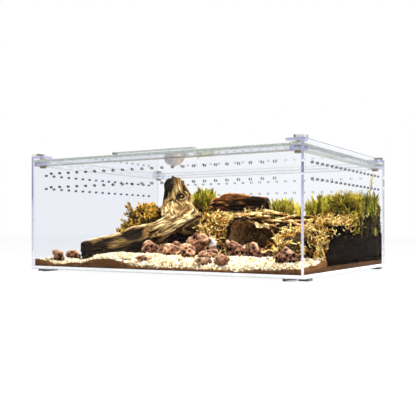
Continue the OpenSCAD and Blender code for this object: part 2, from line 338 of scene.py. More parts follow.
def natural_material(name, colours, patch_size, grain_size, grain_share=0.4, patch_share=0.6,
                     bump=0.6, bump_mm=0.6, tone=0.0, specular=0.06):
    """Wood, stone, soil or moss: colours are dark, middle, light and patch."""
    material, tree = new_material(name)
    vector = out(add(tree, "ShaderNodeTexCoord"), "Object")
    relief = value_of(tree, "relief")
    if tone:
        offset = maths(tree, "SUBTRACT", value_of(tree, "tone"), 0.5)
        relief = maths(tree, "ADD", relief, maths(tree, "MULTIPLY", offset, 2 * tone))
    group = add(tree, "ShaderNodeGroup", node_tree=NATURAL_TONE)
    dark, middle, light, patch = (tint(code) for code in colours)
    settings = {
        "Dark": dark, "Middle": middle, "Light": light, "Patch": patch,
        "Patch size": patch_size, "Patch share": patch_share,
        "Grain size": grain_size, "Grain share": grain_share,
    }
    for label, value in settings.items():
        group.inputs[label].default_value = value
    tree.links.new(vector, group.inputs["Vector"])
    tree.links.new(relief, group.inputs["Relief"])
    shader = tree.nodes.new("ShaderNodeBsdfPrincipled")
    shader.inputs["Specular IOR Level"].default_value = specular
    tree.links.new(out(group, "Color"), shader.inputs["Base Color"])
    tree.links.new(out(group, "Roughness"), shader.inputs["Roughness"])
    if bump:
        inputs = {"Strength": bump, "Distance": bump_mm * MM, "Height": out(group, "Height")}
        tree.links.new(out(add(tree, "ShaderNodeBump", inputs)), shader.inputs["Normal"])
    end_material(tree, out(shader))
    return material


# Clear acrylic

def cut_edge_group():
    """1 on a sheet's cut edges, and 1 in its vent holes."""
    inputs = [
        ("Axis", "NodeSocketVector", None),
        ("Run", "NodeSocketVector", None),
        ("Half run", "NodeSocketFloat", 0.0),
        ("Glued", "NodeSocketVector", None),
        ("Rear share", "NodeSocketFloat", 1.0),
        ("Joint", "NodeSocketFloat", 1.0),
    ]
    outputs = [("Edge", "NodeSocketFloat"), ("Bore", "NodeSocketFloat"), ("Hidden", "NodeSocketFloat")]
    tree, given, result = open_group("Cut edge", "ShaderNodeTree", inputs, outputs)
    normal = out(tree.nodes.new("ShaderNodeNewGeometry"), "True Normal")
    inputs = {0: normal, 1: out(given, "Axis")}
    facing = out(add(tree, "ShaderNodeVectorMath", inputs, operation="DOT_PRODUCT"), "Value")
    edge = maths(tree, "LESS_THAN", maths(tree, "ABSOLUTE", facing), 0.7)
    place = out(add(tree, "ShaderNodeTexCoord"), "Object")
    parts = add(tree, "ShaderNodeSeparateXYZ", {0: place})
    height = parts.outputs[2]
    rows = 0.0
    for row in ROW_HEIGHTS:
        rows = maths(tree, "ADD", rows, maths(tree, "COMPARE", height, row * MM, 2.2 * MM))
    inputs = {0: place, 1: out(given, "Run")}
    run = out(add(tree, "ShaderNodeVectorMath", inputs, operation="DOT_PRODUCT"), "Value")
    inside = maths(tree, "LESS_THAN", maths(tree, "ABSOLUTE", run), out(given, "Half run"))
    bore = maths(tree, "MULTIPLY", maths(tree, "MULTIPLY", rows, inside), edge)
    inputs = {0: normal, 1: out(given, "Glued")}
    glued = out(add(tree, "ShaderNodeVectorMath", inputs, operation="DOT_PRODUCT"), "Value")
    free = maths(tree, "LESS_THAN", maths(tree, "ABSOLUTE", glued), 0.7)
    inputs = {0: normal, 1: (0, 1, 0)}
    along = out(add(tree, "ShaderNodeVectorMath", inputs, operation="DOT_PRODUCT"), "Value")
    end = maths(tree, "GREATER_THAN", maths(tree, "ABSOLUTE", along), 0.7)
    rear = maths(tree, "MULTIPLY", end, maths(tree, "GREATER_THAN", parts.outputs[1], 0.0))
    lost = maths(tree, "MULTIPLY", rear, maths(tree, "SUBTRACT", 1.0, out(given, "Rear share")))
    edge = maths(tree, "MULTIPLY", edge, maths(tree, "SUBTRACT", 1.0, lost))
    edge = maths(tree, "MAXIMUM", maths(tree, "MULTIPLY", edge, free), bore)
    tree.links.new(edge, result.inputs["Edge"])
    tree.links.new(bore, result.inputs["Bore"])
    beyond = maths(tree, "GREATER_THAN", maths(tree, "ABSOLUTE", parts.outputs[1]), out(given, "Joint"))
    within = maths(tree, "LESS_THAN", maths(tree, "ABSOLUTE", parts.outputs[0]), 198.5 * MM)
    flat = maths(tree, "GREATER_THAN", maths(tree, "ABSOLUTE", facing), 0.7)
    joint = maths(tree, "MULTIPLY", maths(tree, "MULTIPLY", beyond, within), flat)
    hidden = maths(tree, "MULTIPLY", maths(tree, "SUBTRACT", 1.0, free), maths(tree, "SUBTRACT", 1.0, bore))
    tree.links.new(maths(tree, "MAXIMUM", joint, hidden), result.inputs["Hidden"])
    return tree


CUT_EDGE = cut_edge_group()
CLEAR_TINT = (0.955, 0.965, 0.985, 1.0)
LAMP_TINT = (0.97, 0.975, 0.985, 1.0)
ACRYLIC_IOR = 1.13
SIDE_IOR = 1.02
FAR_TINT = (0.87, 0.885, 0.925, 1.0)


def clear_glass(tree, ior=ACRYLIC_IOR, shade=CLEAR_TINT):
    """Clear acrylic that lets lamps through, and long paths inside the sheet out."""
    inputs = {"Base Color": shade, "Roughness": 0.0, "IOR": ior, "Transmission Weight": 1.0}
    glass = add(tree, "ShaderNodeBsdfPrincipled", inputs)
    lamps = add(tree, "ShaderNodeBsdfTransparent", {"Color": LAMP_TINT})
    path = tree.nodes.new("ShaderNodeLightPath")
    long_path = maths(tree, "GREATER_THAN", out(path, "Ray Depth"), 7.5)
    through = maths(tree, "MAXIMUM", out(path, "Is Shadow Ray"), long_path)
    inputs = {0: through, 1: out(glass), 2: out(lamps)}
    return out(add(tree, "ShaderNodeMixShader", inputs))


def edge_colour(tree, stops, mottle, mottle_size, dark):
    """The colour of a cut edge: stops by height in millimetres, broken by darker flecks."""
    place = out(add(tree, "ShaderNodeTexCoord"), "Object")
    height = add(tree, "ShaderNodeSeparateXYZ", {0: place}).outputs[2]
    share = maths(tree, "DIVIDE", height, 160 * MM)
    bands = add(tree, "ShaderNodeValToRGB", {"Fac": share})
    elements = bands.color_ramp.elements
    while len(elements) < len(stops):
        elements.new(0.5)
    for element, (level, code) in zip(elements, stops):
        element.position = level / 160
        element.color = tint(code)
    inputs = {"Vector": place, "Scale": 1 / (mottle_size * MM), "Detail": 3.0}
    fleck = out(add(tree, "ShaderNodeTexNoise", inputs), "Fac")
    inputs = {"Value": fleck, "From Min": 0.45, "From Max": 0.6, "To Max": mottle}
    return mixed(tree, out(add(tree, "ShaderNodeMapRange", inputs)), out(bands), tint(dark))


def acrylic_material(name, axis, stops, run=(0, 0, 0), half_run=0.0, mottle=0.4, mottle_size=4.0,
                     dark="8E93A6", ior=ACRYLIC_IOR, bore="30323A", glued=(0, 0, 0), rear=1.0,
                     joint=1000.0, shade=CLEAR_TINT):
    """A clear sheet with satin cut edges and dark-walled vent holes."""
    material, tree = new_material(name)
    group = add(tree, "ShaderNodeGroup", node_tree=CUT_EDGE)
    group.inputs["Axis"].default_value = axis
    group.inputs["Run"].default_value = run
    group.inputs["Glued"].default_value = glued
    group.inputs["Half run"].default_value = half_run * MM
    group.inputs["Rear share"].default_value = rear
    group.inputs["Joint"].default_value = joint * MM
    colour = edge_colour(tree, stops, mottle, mottle_size, dark)
    colour = mixed(tree, out(group, "Bore"), colour, tint(bore))
    satin = add(tree, "ShaderNodeBsdfPrincipled", {"Base Color": colour, "Roughness": 0.22})
    inputs = {0: out(group, "Edge"), 1: clear_glass(tree, ior, shade), 2: out(satin)}
    shown = add(tree, "ShaderNodeMixShader", inputs)
    clear = add(tree, "ShaderNodeBsdfTransparent", {"Color": LAMP_TINT})
    seam = add(tree, "ShaderNodeMixShader", {0: 0.16, 1: out(clear), 2: out(satin)})
    inputs = {0: out(group, "Hidden"), 1: out(shown), 2: out(seam)}
    end_material(tree, out(add(tree, "ShaderNodeMixShader", inputs)))
    return material


def strip_material(name, stops, mottle, dark, low_share, high_share):
    """A glued strip or block: see-through, with more of its satin edge colour low down."""
    material, tree = new_material(name)
    colour = edge_colour(tree, stops, mottle, 3.0, dark)
    satin = add(tree, "ShaderNodeBsdfPrincipled", {"Base Color": colour, "Roughness": 0.3})
    clear = add(tree, "ShaderNodeBsdfTransparent", {"Color": LAMP_TINT})
    place = out(add(tree, "ShaderNodeTexCoord"), "Object")
    height = add(tree, "ShaderNodeSeparateXYZ", {0: place}).outputs[2]
    inputs = {
        "Value": height, "From Min": 143.6 * MM, "From Max": 144.6 * MM,
        "To Min": low_share, "To Max": high_share,
    }
    share = out(add(tree, "ShaderNodeMapRange", inputs))
    end_material(tree, out(add(tree, "ShaderNodeMixShader", {0: share, 1: out(clear), 2: out(satin)})))
    return material


PANEL_STOPS = [
    (7, "F6F4F8"), (20, "F2EEF4"), (40, "DAD2DE"), (88, "C4BFDA"), (104, "8E90B8"), (156, "A9ACC6"),
]
NEAR_STOPS = [
    (7, "F6F4F8"), (20, "F2EEF4"), (40, "DAD2DE"), (88, "C4BFDA"), (104, "AEB0D2"), (115.4, "B4B4D4"),
    (116.2, "FFFFFF"), (117.4, "FFFFFF"), (118.2, "747894"), (123, "8C90B4"), (129, "6C7090"),
    (130.2, "FFFFFF"), (131.6, "FFFFFF"), (132.4, "BAB8D4"), (156, "A9ACC6"),
]
RIM_STOPS = [(0, "C9CFC9"), (143, "9C9A86"), (144.5, "D4D8D6"), (157, "DDE0DE")]
LID_STOPS = [(0, "D2D8D2"), (148, "A9B2AA"), (151, "D2D9D4"), (160, "E6EAEA")]
PAD_STOPS = [(0, "B9B6D2"), (143, "B4B2D4"), (153, "B6B4D8"), (160, "E4E4EC")]
BASE_STOPS = [(0, "8F9396"), (3.2, "AEB2B4"), (3.9, "F4F6F6"), (7, "FDFDFD")]


def give_material(material, *names):
    for name in names:
        piece = frame["nodes"][name]
        piece.data.materials.clear()
        piece.data.materials.append(material)


def nickel_material(name, dark, light):
    """Plated disc magnet: a warm grey metal, turned and a little worn."""
    material, tree = new_material(name)
    place = out(add(tree, "ShaderNodeTexCoord"), "Object")
    inputs = {"Vector": place, "Scale": 900.0, "Detail": 4.0}
    speckle = out(add(tree, "ShaderNodeTexNoise", inputs), "Fac")
    colour = mixed(tree, speckle, tint(dark), tint(light))
    rough = add(tree, "ShaderNodeMapRange", {"Value": speckle, "To Min": 0.2, "To Max": 0.5})
    bump = add(tree, "ShaderNodeBump", {"Strength": 0.2, "Distance": 0.0002, "Height": speckle})
    inputs = {"Base Color": colour, "Metallic": 0.9, "Roughness": out(rough), "Normal": out(bump)}
    end_material(tree, out(add(tree, "ShaderNodeBsdfPrincipled", inputs)))
    return material


def block_material():
    """Stacking block: frosted white, with the brown of the sawn inner ends showing through."""
    material, tree = new_material("acrylic_block")
    place = out(add(tree, "ShaderNodeTexCoord"), "Object")
    parts = add(tree, "ShaderNodeSeparateXYZ", {0: place})
    across = maths(tree, "LESS_THAN", maths(tree, "ABSOLUTE", parts.outputs[0]), 190.2 * MM)
    deep = maths(tree, "LESS_THAN", maths(tree, "ABSOLUTE", parts.outputs[1]), 140.4 * MM)
    inner = maths(tree, "MAXIMUM", across, deep)
    fleck = out(add(tree, "ShaderNodeTexNoise", {"Vector": place, "Scale": 700.0, "Detail": 3.0}), "Fac")
    brown = mixed(tree, fleck, tint("4A3626"), tint("A08C74"))
    white = mixed(tree, fleck, tint("E2E3EA"), tint("FBFBFC"))
    colour = mixed(tree, inner, white, brown)
    satin = add(tree, "ShaderNodeBsdfPrincipled", {"Base Color": colour, "Roughness": 0.25})
    clear = add(tree, "ShaderNodeBsdfTransparent", {"Color": LAMP_TINT})
    share = add(tree, "ShaderNodeMapRange", {"Value": inner, "To Min": 0.6, "To Max": 0.85})
    end_material(tree, out(add(tree, "ShaderNodeMixShader", {0: out(share), 1: out(clear), 2: out(satin)})))
    return material


def finger_strip_material():
    """Lid strip: clear, with a grey line under its top edge and a dark sawn left end."""
    material, tree = new_material("acrylic_strip")
    place = out(add(tree, "ShaderNodeTexCoord"), "Object")
    parts = add(tree, "ShaderNodeSeparateXYZ", {0: place})
    end = maths(tree, "LESS_THAN", parts.outputs[0], -58.2 * MM)
    line = maths(tree, "COMPARE", parts.outputs[2], 153.5 * MM, 0.4 * MM)
    fleck = out(add(tree, "ShaderNodeTexNoise", {"Vector": place, "Scale": 500.0, "Detail": 3.0}), "Fac")
    pale = mixed(tree, fleck, tint("C9D0CC"), tint("F2F5F4"))
    grey = mixed(tree, fleck, tint("7E8682"), tint("A9B0AC"))
    colour = mixed(tree, end, mixed(tree, line, pale, grey), tint("1C1A18"))
    satin = add(tree, "ShaderNodeBsdfPrincipled", {"Base Color": colour, "Roughness": 0.2})
    clear = add(tree, "ShaderNodeBsdfTransparent", {"Color": LAMP_TINT})
    share = maths(tree, "ADD", 0.25, maths(tree, "MULTIPLY", maths(tree, "MAXIMUM", end, line), 0.6))
    end_material(tree, out(add(tree, "ShaderNodeMixShader", {0: share, 1: out(clear), 2: out(satin)})))
    return material


def foot_material():
    """Acrylic foot, painted nearly black from the side as painted shade of the dark gap under the base seen through
    it, with a clearer middle.
    """
    material, tree = new_material("foot_acrylic")
    place = out(add(tree, "ShaderNodeTexCoord"), "Object")
    inputs = {"Vector": place, "Scale": 160.0, "Detail": 2.0}
    cloud = out(add(tree, "ShaderNodeTexNoise", inputs), "Fac")
    # The near-black colour is painted shade, for the dark gap under the base that the clear foot shows.
    colour = mixed(tree, cloud, tint("141310"), tint("4A4844"))
    inputs = {"Base Color": colour, "Roughness": 0.18, "Coat Weight": 0.5}
    painted_dark = add(tree, "ShaderNodeBsdfPrincipled", inputs)
    across = maths(tree, "ABSOLUTE", add(tree, "ShaderNodeSeparateXYZ", {0: place}).outputs[0])
    middle = maths(tree, "COMPARE", across, 184.5 * MM, 4.5 * MM)
    clear = add(tree, "ShaderNodeBsdfTransparent", {"Color": LAMP_TINT})
    share = maths(tree, "MULTIPLY", middle, 0.6)
    end_material(tree, out(add(tree, "ShaderNodeMixShader", {0: share, 1: out(painted_dark), 2: out(clear)})))
    return material


def finish_box():
    """Materials for every CAD node of the box and the lid."""
    wide = acrylic_material("acrylic_wide", (0, 1, 0), PANEL_STOPS, (1, 0, 0), 192, glued=(1, 0, 0))
    near_side = acrylic_material(
        "acrylic_right", (1, 0, 0), NEAR_STOPS, (0, 1, 0), 142, ior=SIDE_IOR, bore="7A7C86",
        rear=0.75, joint=147
    )
    far_side = acrylic_material(
        "acrylic_left", (1, 0, 0), PANEL_STOPS, (0, 1, 0), 142, ior=SIDE_IOR, bore="6A6C74",
        rear=0.0, joint=147, shade=FAR_TINT
    )
    lid = acrylic_material("acrylic_lid", (0, 0, 1), LID_STOPS, mottle=0.7, mottle_size=2.5, dark="8A938A")
    rim = strip_material("acrylic_ledge", RIM_STOPS, 0.5, "8A8C80", 0.6, 0.12)
    rear_rim = strip_material("acrylic_ledge_rear", RIM_STOPS, 0.5, "8A8C80", 0.3, 0.08)
    shelf = strip_material("acrylic_shelf", PAD_STOPS, 0.3, "8C8CAC", 0.55, 0.4)
    pad = acrylic_material("acrylic_pad", (0, 0, 1), PAD_STOPS, mottle=0.5, dark="8482A8")
    base = acrylic_material("acrylic_base", (0, 0, 1), BASE_STOPS, mottle=0.1)
    give_material(wide, "front_panel", "back_panel")
    give_material(far_side, "left_panel")
    give_material(near_side, "right_panel")
    give_material(lid, "lid_plate")
    give_material(finger_strip_material(), "finger_strip")
    give_material(rim, "front_ledge", "right_ledge")
    give_material(rear_rim, "back_ledge", "left_ledge")
    give_material(base, "base_plate")
    pale_shelf = strip_material("acrylic_shelf_rear", PAD_STOPS, 0.4, "7C7C9C", 0.2, 0.2)
    # The shelf magnets get a darker, browner copy of the same plated metal: painted shade under the shelves.
    nickel = nickel_material("nickel", "6E5C3A", "A8936A")
    bright_nickel = nickel_material("nickel_bright", "B4AC9A", "E2DED2")
    foot, block = foot_material(), block_material()
    for corner in ("front_left", "front_right", "back_left", "back_right"):
        give_material(shelf if "front" in corner else pale_shelf, "corner_shelf_" + corner)
        give_material(pad, "lid_corner_plate_" + corner)
        give_material(block, "stacking_block_" + corner)
        give_material(nickel, "shelf_magnet_" + corner)
        give_material(bright_nickel, "lid_magnet_" + corner)
        give_material(foot, "foot_" + corner)


# Stage

def make_camera():
    data = bpy.data.cameras.new("camera")
    data.lens = LENS
    data.sensor_width = SENSOR
    data.shift_y = SHIFT_Y
    camera = bpy.data.objects.new("camera", data)
    camera.location = CAMERA_PLACE
    camera.rotation_euler = (math.radians(90), 0, math.radians(CAMERA_TURN))
    scene.collection.objects.link(camera)
    scene.camera = camera


def seen_directly(tree):
    """1 for what the camera sees straight, in a mirror or through glass, and 0 for light on things."""
    path = tree.nodes.new("ShaderNodeLightPath")
    seen = maths(tree, "MAXIMUM", out(path, "Is Camera Ray"), out(path, "Is Glossy Ray"))
    seen = maths(tree, "MAXIMUM", seen, out(path, "Is Transmission Ray"))
    return maths(tree, "MULTIPLY", seen, maths(tree, "LESS_THAN", out(path, "Diffuse Depth"), 0.5))


def make_world(light_strength, mirror_strength):
    """A white studio that lights softly, and that bare reflections see a little dimmer."""
    world = bpy.data.worlds.new("studio")
    scene.world = world
    world.use_nodes = True
    tree = world.node_tree
    tree.nodes.clear()
    path = tree.nodes.new("ShaderNodeLightPath")
    through = maths(tree, "MAXIMUM", out(path, "Is Camera Ray"), out(path, "Is Transmission Ray"))
    first = maths(tree, "LESS_THAN", out(path, "Diffuse Depth"), 0.5)
    through = maths(tree, "MULTIPLY", through, first)
    mirror = maths(tree, "MULTIPLY", out(path, "Is Glossy Ray"), mirror_strength - light_strength)
    level = maths(tree, "ADD", mirror, light_strength)
    level = maths(tree, "MAXIMUM", level, through)
    shown = add(tree, "ShaderNodeBackground", {"Color": (1, 1, 1, 1), "Strength": level})
    target = tree.nodes.new("ShaderNodeOutputWorld")
    tree.links.new(out(shown), target.inputs["Surface"])


def make_floor():
    size = 4000.0
    points = [(-size, -size, 0), (size, -size, 0), (size, size, 0), (-size, size, 0)]
    floor = make_object("floor", points, [(0, 1, 2, 3)])
    material, tree = new_material("floor")
    pale = add(tree, "ShaderNodeBsdfDiffuse", {"Color": (0.9, 0.9, 0.9, 1)})
    white = add(tree, "ShaderNodeEmission", {"Color": (1, 1, 1, 1), "Strength": 1.0})
    share = maths(tree, "MULTIPLY", seen_directly(tree), 0.95)
    end_material(tree, out(add(tree, "ShaderNodeMixShader", {0: share, 1: out(pale), 2: out(white)})))
    floor.data.materials.append(material)


def make_lamp(name, place, aim, size, power):
    data = bpy.data.lights.new(name, "AREA")
    data.shape = "DISK"
    data.size = size
    data.energy = power
    lamp = bpy.data.objects.new(name, data)
    lamp.location = place
    away = np.array(place, float) - np.array(aim, float)
    flat = math.hypot(away[0], away[1])
    lamp.rotation_euler = (math.atan2(flat, away[2]), 0, math.atan2(away[0], -away[1]))
    scene.collection.objects.link(lamp)


def make_stage():
    make_camera()
    make_world(0.32, 0.3)
    make_floor()
    make_lamp("key", (0.45, -0.1, 1.3), (0, 0, 0.05), 0.35, 34)
    make_lamp("fill", (-0.9, -0.9, 0.7), (0, 0, 0.05), 0.8, 2.5)


# Landscape

SOIL_ROWS = [
    (-147, [(-197, 16), (-180, 14), (-165, 10), (-152, 8.6), (-134, 12.5), (-115, 12.5), (-94, 17.5),
            (-72, 18.6), (-55, 17), (-43, 13), (-32, 9.5), (27, 9), (93, 8.8), (117, 7.8), (129, 9.5),
            (140, 11), (157, 10.3), (172, 12.7), (197, 12.7)]),
    (-128, [(-197, 16), (-168, 12), (-152, 9.5), (-134, 10.5), (-118, 14), (-100, 18), (-60, 20), (-30, 17), (20, 14), (80, 14),
            (120, 13), (160, 14), (197, 14)]),
    (-100, [(-197, 15), (-172, 13), (-158, 9.5), (-146, 10), (-134, 15), (-122, 20.5), (-95, 23.5),
            (-78, 24), (-58, 22), (-40, 21), (-10, 19.5), (40, 18), (100, 18), (150, 16), (197, 16)]),
    (-70, [(-197, 15), (-165, 14), (-140, 14), (-124, 17.5), (-112, 19.5), (-80, 20.5), (-40, 20),
           (0, 19), (60, 19.5), (120, 20), (197, 20)]),
    (-30, [(-197, 14), (-150, 17), (-110, 22), (-50, 22), (0, 20.5), (197, 20.5)]),
    (40, [(-197, 14), (-150, 18), (-110, 20), (197, 20)]),
    (147, [(-197, 15), (-150, 19), (-110, 20), (197, 20)]),
]


def soil_level(x, y):
    """The smooth level of the soil, without its crumbs."""
    levels = np.stack([np.interp(x, *zip(*row)) for _, row in SOIL_ROWS])
    rows = np.array([row_y for row_y, _ in SOIL_ROWS], float)
    at = np.clip(np.interp(y, rows, np.arange(len(rows))), 0, len(rows) - 1.001)
    low = at.astype(int)
    share = at - low
    share = share * share * (3 - 2 * share)
    index = np.arange(len(x))
    return levels[low, index] * (1 - share) + levels[low + 1, index] * share


def sheet_block(xs, ys, heights, floor_z, levels=1):
    """A closed block over a grid: its top follows the heights and its sides drop to floor_z."""
    columns, rows = len(xs), len(ys)
    grid_x, grid_y = np.meshgrid(xs, ys)
    top = np.stack([grid_x.ravel(), grid_y.ravel(), heights.ravel()], axis=1)
    faces = []
    for j in range(rows - 1):
        for i in range(columns - 1):
            a = j * columns + i
            faces.append((a, a + 1, a + columns + 1, a + columns))
    rim = [i for i in range(columns)]
    rim += [j * columns + columns - 1 for j in range(1, rows)]
    rim += [(rows - 1) * columns + i for i in range(columns - 2, -1, -1)]
    rim += [j * columns for j in range(rows - 2, 0, -1)]
    above, sides = list(rim), []
    count, start = len(rim), len(top)
    for level in range(1, levels + 1):
        ring = top[rim].copy()
        ring[:, 2] += (floor_z - ring[:, 2]) * level / levels
        sides.append(ring)
        below = list(range(start, start + count))
        for k in range(count):
            after = (k + 1) % count
            faces.append((above[k], below[k], below[after], above[after]))
        above, start = below, start + count
    faces.append(tuple(above[::-1]))
    return np.concatenate([top] + sides), faces


def make_soil():
    xs, ys = np.linspace(-PANE_X, PANE_X, 240), np.linspace(-PANE_Y, PANE_Y, 180)
    grid_x, grid_y = (g.ravel() for g in np.meshgrid(xs, ys))
    flat = np.stack([grid_x, grid_y, np.zeros(len(grid_x))], axis=1)
    crumbs = layered(flat, 6, 3, 3)
    heights = soil_level(grid_x, grid_y) + 0.9 * crumbs
    heights = np.maximum(heights, BASE_TOP + 0.4)
    points, faces = sheet_block(xs, ys, heights, BASE_TOP)
    cover = np.maximum(1 - ramp(grid_y, -66, -48), 1 - ramp(grid_x, -152, -140))
    cover *= 1 - 0.75 * ramp(grid_x, 150, 185) * (1 - ramp(-grid_y, 60, 90))
    cover *= 1 - ramp(np.abs(grid_x), 191.5, 193) * 1.0
    cover *= 1 - ramp(np.abs(grid_y), 141.5, 143) * 1.0
    cover *= 1 - 0.95 * ramp(grid_y, 0, 80)
    rim_count = len(points) - len(heights)
    relief = np.concatenate([0.5 + 0.3 * crumbs, np.full(rim_count, 0.5)])
    cover = np.concatenate([cover, np.zeros(rim_count)])
    soil = make_object("soil_bed", points, faces, {"relief": relief, "cover": cover})
    colours = ("2E1A0C", "63401F", "8A5C2E", "4A2C14")
    material = natural_material("brown_soil", colours, 12, 1.6, 0.7, bump=0.9, bump_mm=0.8)
    return finish_piece(soil, material, "brown_soil", "soil_bed")


# Shapes that are repeated over a surface

class Sprout:
    """A small repeated shape of blades and stalks, up to a few dozen faces."""

    def __init__(self, seed):
        self.chance = np.random.default_rng(seed)
        self.points, self.faces, self.relief = [], [], []

    def blade(self, root, heading, length, width, droop=0.0, low=0.25, high=1.0):
        """A pointed leaf with a fold along its middle."""
        root, heading = np.array(root, float), np.array(heading, float)
        heading /= np.linalg.norm(heading)
        side = np.cross(heading, (0.13, 0.21, 0.97))
        side *= width / 2 / max(np.linalg.norm(side), 1e-6)
        sag = np.array([0, 0, -droop * length])
        middle = root + heading * length * 0.45 + sag * 0.2
        start = len(self.points)
        self.points += [root, middle - side, middle + side, root + heading * length + sag]
        self.faces += [(start, start + 2, start + 3), (start, start + 3, start + 1)]
        # Relief rises from root to tip: painted shade deep in the tuft and painted light on the tips.
        self.relief += [low, (low + high) / 2, (low + high) / 2, high]

    def stalk(self, run, radius, low=0.1, high=0.6, taper=0.6):
        """A three-sided stem along a run of points."""
        run = np.asarray(run, float)
        start, last = len(self.points), len(run) - 1
        for k, place in enumerate(run):
            ahead = run[min(k + 1, last)] - run[max(k - 1, 0)]
            side = np.cross(ahead, (0.31, 0.11, 0.94))
            side /= max(np.linalg.norm(side), 1e-6)
            rise = np.cross(ahead / np.linalg.norm(ahead), side)
            size = radius * (1 - (1 - taper) * k / last)
            for turn in (0.0, 2.094, 4.189):
                self.points.append(place + size * (side * math.cos(turn) + rise * math.sin(turn)))
                # Relief rises along the stem: painted shade at its foot and painted light towards its end.
                self.relief.append(low + (high - low) * k / last)
        for k in range(last):
            for j in range(3):
                a, b = start + 3 * k + j, start + 3 * k + (j + 1) % 3
                self.faces.append((a, b, b + 3, a + 3))
        self.faces.append((start + 3 * last, start + 3 * last + 1, start + 3 * last + 2))

    def make(self, name):
        piece = make_object(name, self.points, self.faces, {"relief": self.relief})
        piece.data.shade_flat()
        return piece


def around(turn, lean):
    """A direction that leans away from upright by an angle, towards a turn."""
    return (math.sin(lean) * math.cos(turn), math.sin(lean) * math.sin(turn), math.cos(lean))


GOLDEN_TURN = 2.39996


def star_sprout(seed, height=8.0, leaves=12, length=5.0, width=1.9):
    """A short stem with broad pointed leaves all round."""
    sprout = Sprout(seed)
    sprout.stalk([(0, 0, -1.5), (0.2, 0, height * 0.5), (0, 0.2, height)], 0.4)
    for k in range(leaves):
        share = k / (leaves - 1)
        lean = math.radians(80 - 62 * share + sprout.chance.uniform(-12, 12))
        size = length * (1.05 - 0.35 * share) * sprout.chance.uniform(0.8, 1.2)
        root = (0, 0, height * (0.15 + 0.85 * share))
        sprout.blade(root, around(k * GOLDEN_TURN, lean), size, width, droop=0.12 * (1 - share))
    return sprout.make(f"star_sprout_{seed}")


def spike_sprout(seed, height=15.0, leaves=20, length=6.0, width=1.15):
    """An upright stem of haircap moss with needle leaves."""
    sprout = Sprout(seed)
    bend = sprout.chance.uniform(-1, 1, 2) * height * 0.12
    run = [(0, 0, -3), (bend[0] * 0.4, bend[1] * 0.4, height * 0.5), (bend[0], bend[1], height)]
    sprout.stalk(run, 0.55, low=0.0, high=0.5)
    for k in range(leaves):
        share = 0.12 + 0.88 * k / (leaves - 1)
        lean = math.radians(34 - 20 * share + sprout.chance.uniform(-7, 7))
        size = length * (1.1 - 0.3 * share) * sprout.chance.uniform(0.85, 1.2)
        root = (bend[0] * share, bend[1] * share, height * share)
        sprout.blade(root, around(k * GOLDEN_TURN, lean), size, width, low=0.1 + 0.5 * share)
    return sprout.make(f"spike_sprout_{seed}")


def fern_sprout(seed, height=7.0, leaves=13, length=15.0, width=1.7):
    """A tuft of long needles that fan out and droop."""
    sprout = Sprout(seed)
    sprout.stalk([(0, 0, -2), (0, 0.3, height)], 0.6, low=0.0, high=0.4)
    for k in range(leaves):
        share = k / (leaves - 1)
        lean = math.radians(72 - 50 * share + sprout.chance.uniform(-10, 10))
        size = length * sprout.chance.uniform(0.7, 1.15)
        root = (0, 0, height * (0.4 + 0.6 * share))
        sprout.blade(root, around(k * GOLDEN_TURN, lean), size, width, droop=0.35 * (1 - share))
    return sprout.make(f"fern_sprout_{seed}")


def curl_sprout(seed, steps=6, step=2.9, radius=0.85, leaves=6):
    """A dry curled strand with short side leaves."""
    sprout = Sprout(seed)
    turn, lean = sprout.chance.uniform(0, 6.28), math.radians(25)
    swing, nod = sprout.chance.uniform(0.25, 0.6), sprout.chance.uniform(0.1, 0.45)
    run = [np.array([0, 0, -1.5])]
    for _ in range(steps):
        run.append(run[-1] + step * np.array(around(turn, lean)))
        turn += swing * sprout.chance.uniform(0.5, 1.5)
        lean += nod * sprout.chance.uniform(0.4, 1.4)
    sprout.stalk(run, radius, low=0.1, high=1.0, taper=0.5)
    for k in range(leaves):
        at = run[1 + k % steps]
        heading = around(turn + k * GOLDEN_TURN, sprout.chance.uniform(0.5, 1.4))
        sprout.blade(at, heading, sprout.chance.uniform(2.8, 5.0), 1.6, low=0.35)
    return sprout.make(f"curl_sprout_{seed}")


def wood_chip(seed, length=3.2, width=1.6, thick=0.7):
    """A shaved flake with a ragged outline and a slight curl."""
    chance = np.random.default_rng(seed)
    sides = 5
    turn = np.linspace(0, 2 * np.pi, sides, endpoint=False) + chance.uniform(-0.25, 0.25, sides)
    reach = chance.uniform(0.7, 1.15, sides)
    x, y = length * reach * np.cos(turn), width * reach * np.sin(turn)
    lift = 0.09 * x**2 * chance.uniform(0.2, 1.0) + chance.uniform(-0.15, 0.15, sides)
    low = np.stack([x * 0.92, y * 0.92, lift], axis=1)
    high = low * (1.05, 1.05, 1) + (0, 0, thick)
    points = np.concatenate([low, high, [[0, 0, 0], [0, 0, thick * 1.2]]])
    faces = []
    for j in range(sides):
        b = (j + 1) % sides
        faces += [(j, b, b + sides, j + sides), (2 * sides, b, j), (2 * sides + 1, j + sides, b + sides)]
    relief = chance.uniform(0.45, 1.0, len(points))
    piece = make_object(f"wood_chip_{seed}", points, faces, {"relief": relief})
    piece.data.shade_flat()
    return piece


# Geometry Nodes that spread a shape over a surface

SPREAD_INPUTS = [
    ("Surface", "NodeSocketGeometry"), ("Density", "NodeSocketFloat"), ("Seed", "NodeSocketInt"),
    ("Smallest", "NodeSocketFloat"), ("Largest", "NodeSocketFloat"), ("Upright", "NodeSocketFloat"),
    ("Lean", "NodeSocketFloat"), ("Sink", "NodeSocketFloat"), ("Shape A", "NodeSocketObject"),
    ("Shape B", "NodeSocketObject"), ("Shape C", "NodeSocketObject"), ("Finish", "NodeSocketMaterial"),
]


def random_between(tree, low, high, seed, kind="FLOAT"):
    node = tree.nodes.new("FunctionNodeRandomValue")
    node.data_type = kind
    first = {"FLOAT_VECTOR": 0, "FLOAT": 2}[kind]
    for index, value in ((first, low), (first + 1, high), (8, seed)):
        if isinstance(value, bpy.types.NodeSocket):
            tree.links.new(value, node.inputs[index])
        else:
            node.inputs[index].default_value = value
    return node.outputs[0 if kind == "FLOAT_VECTOR" else 1]


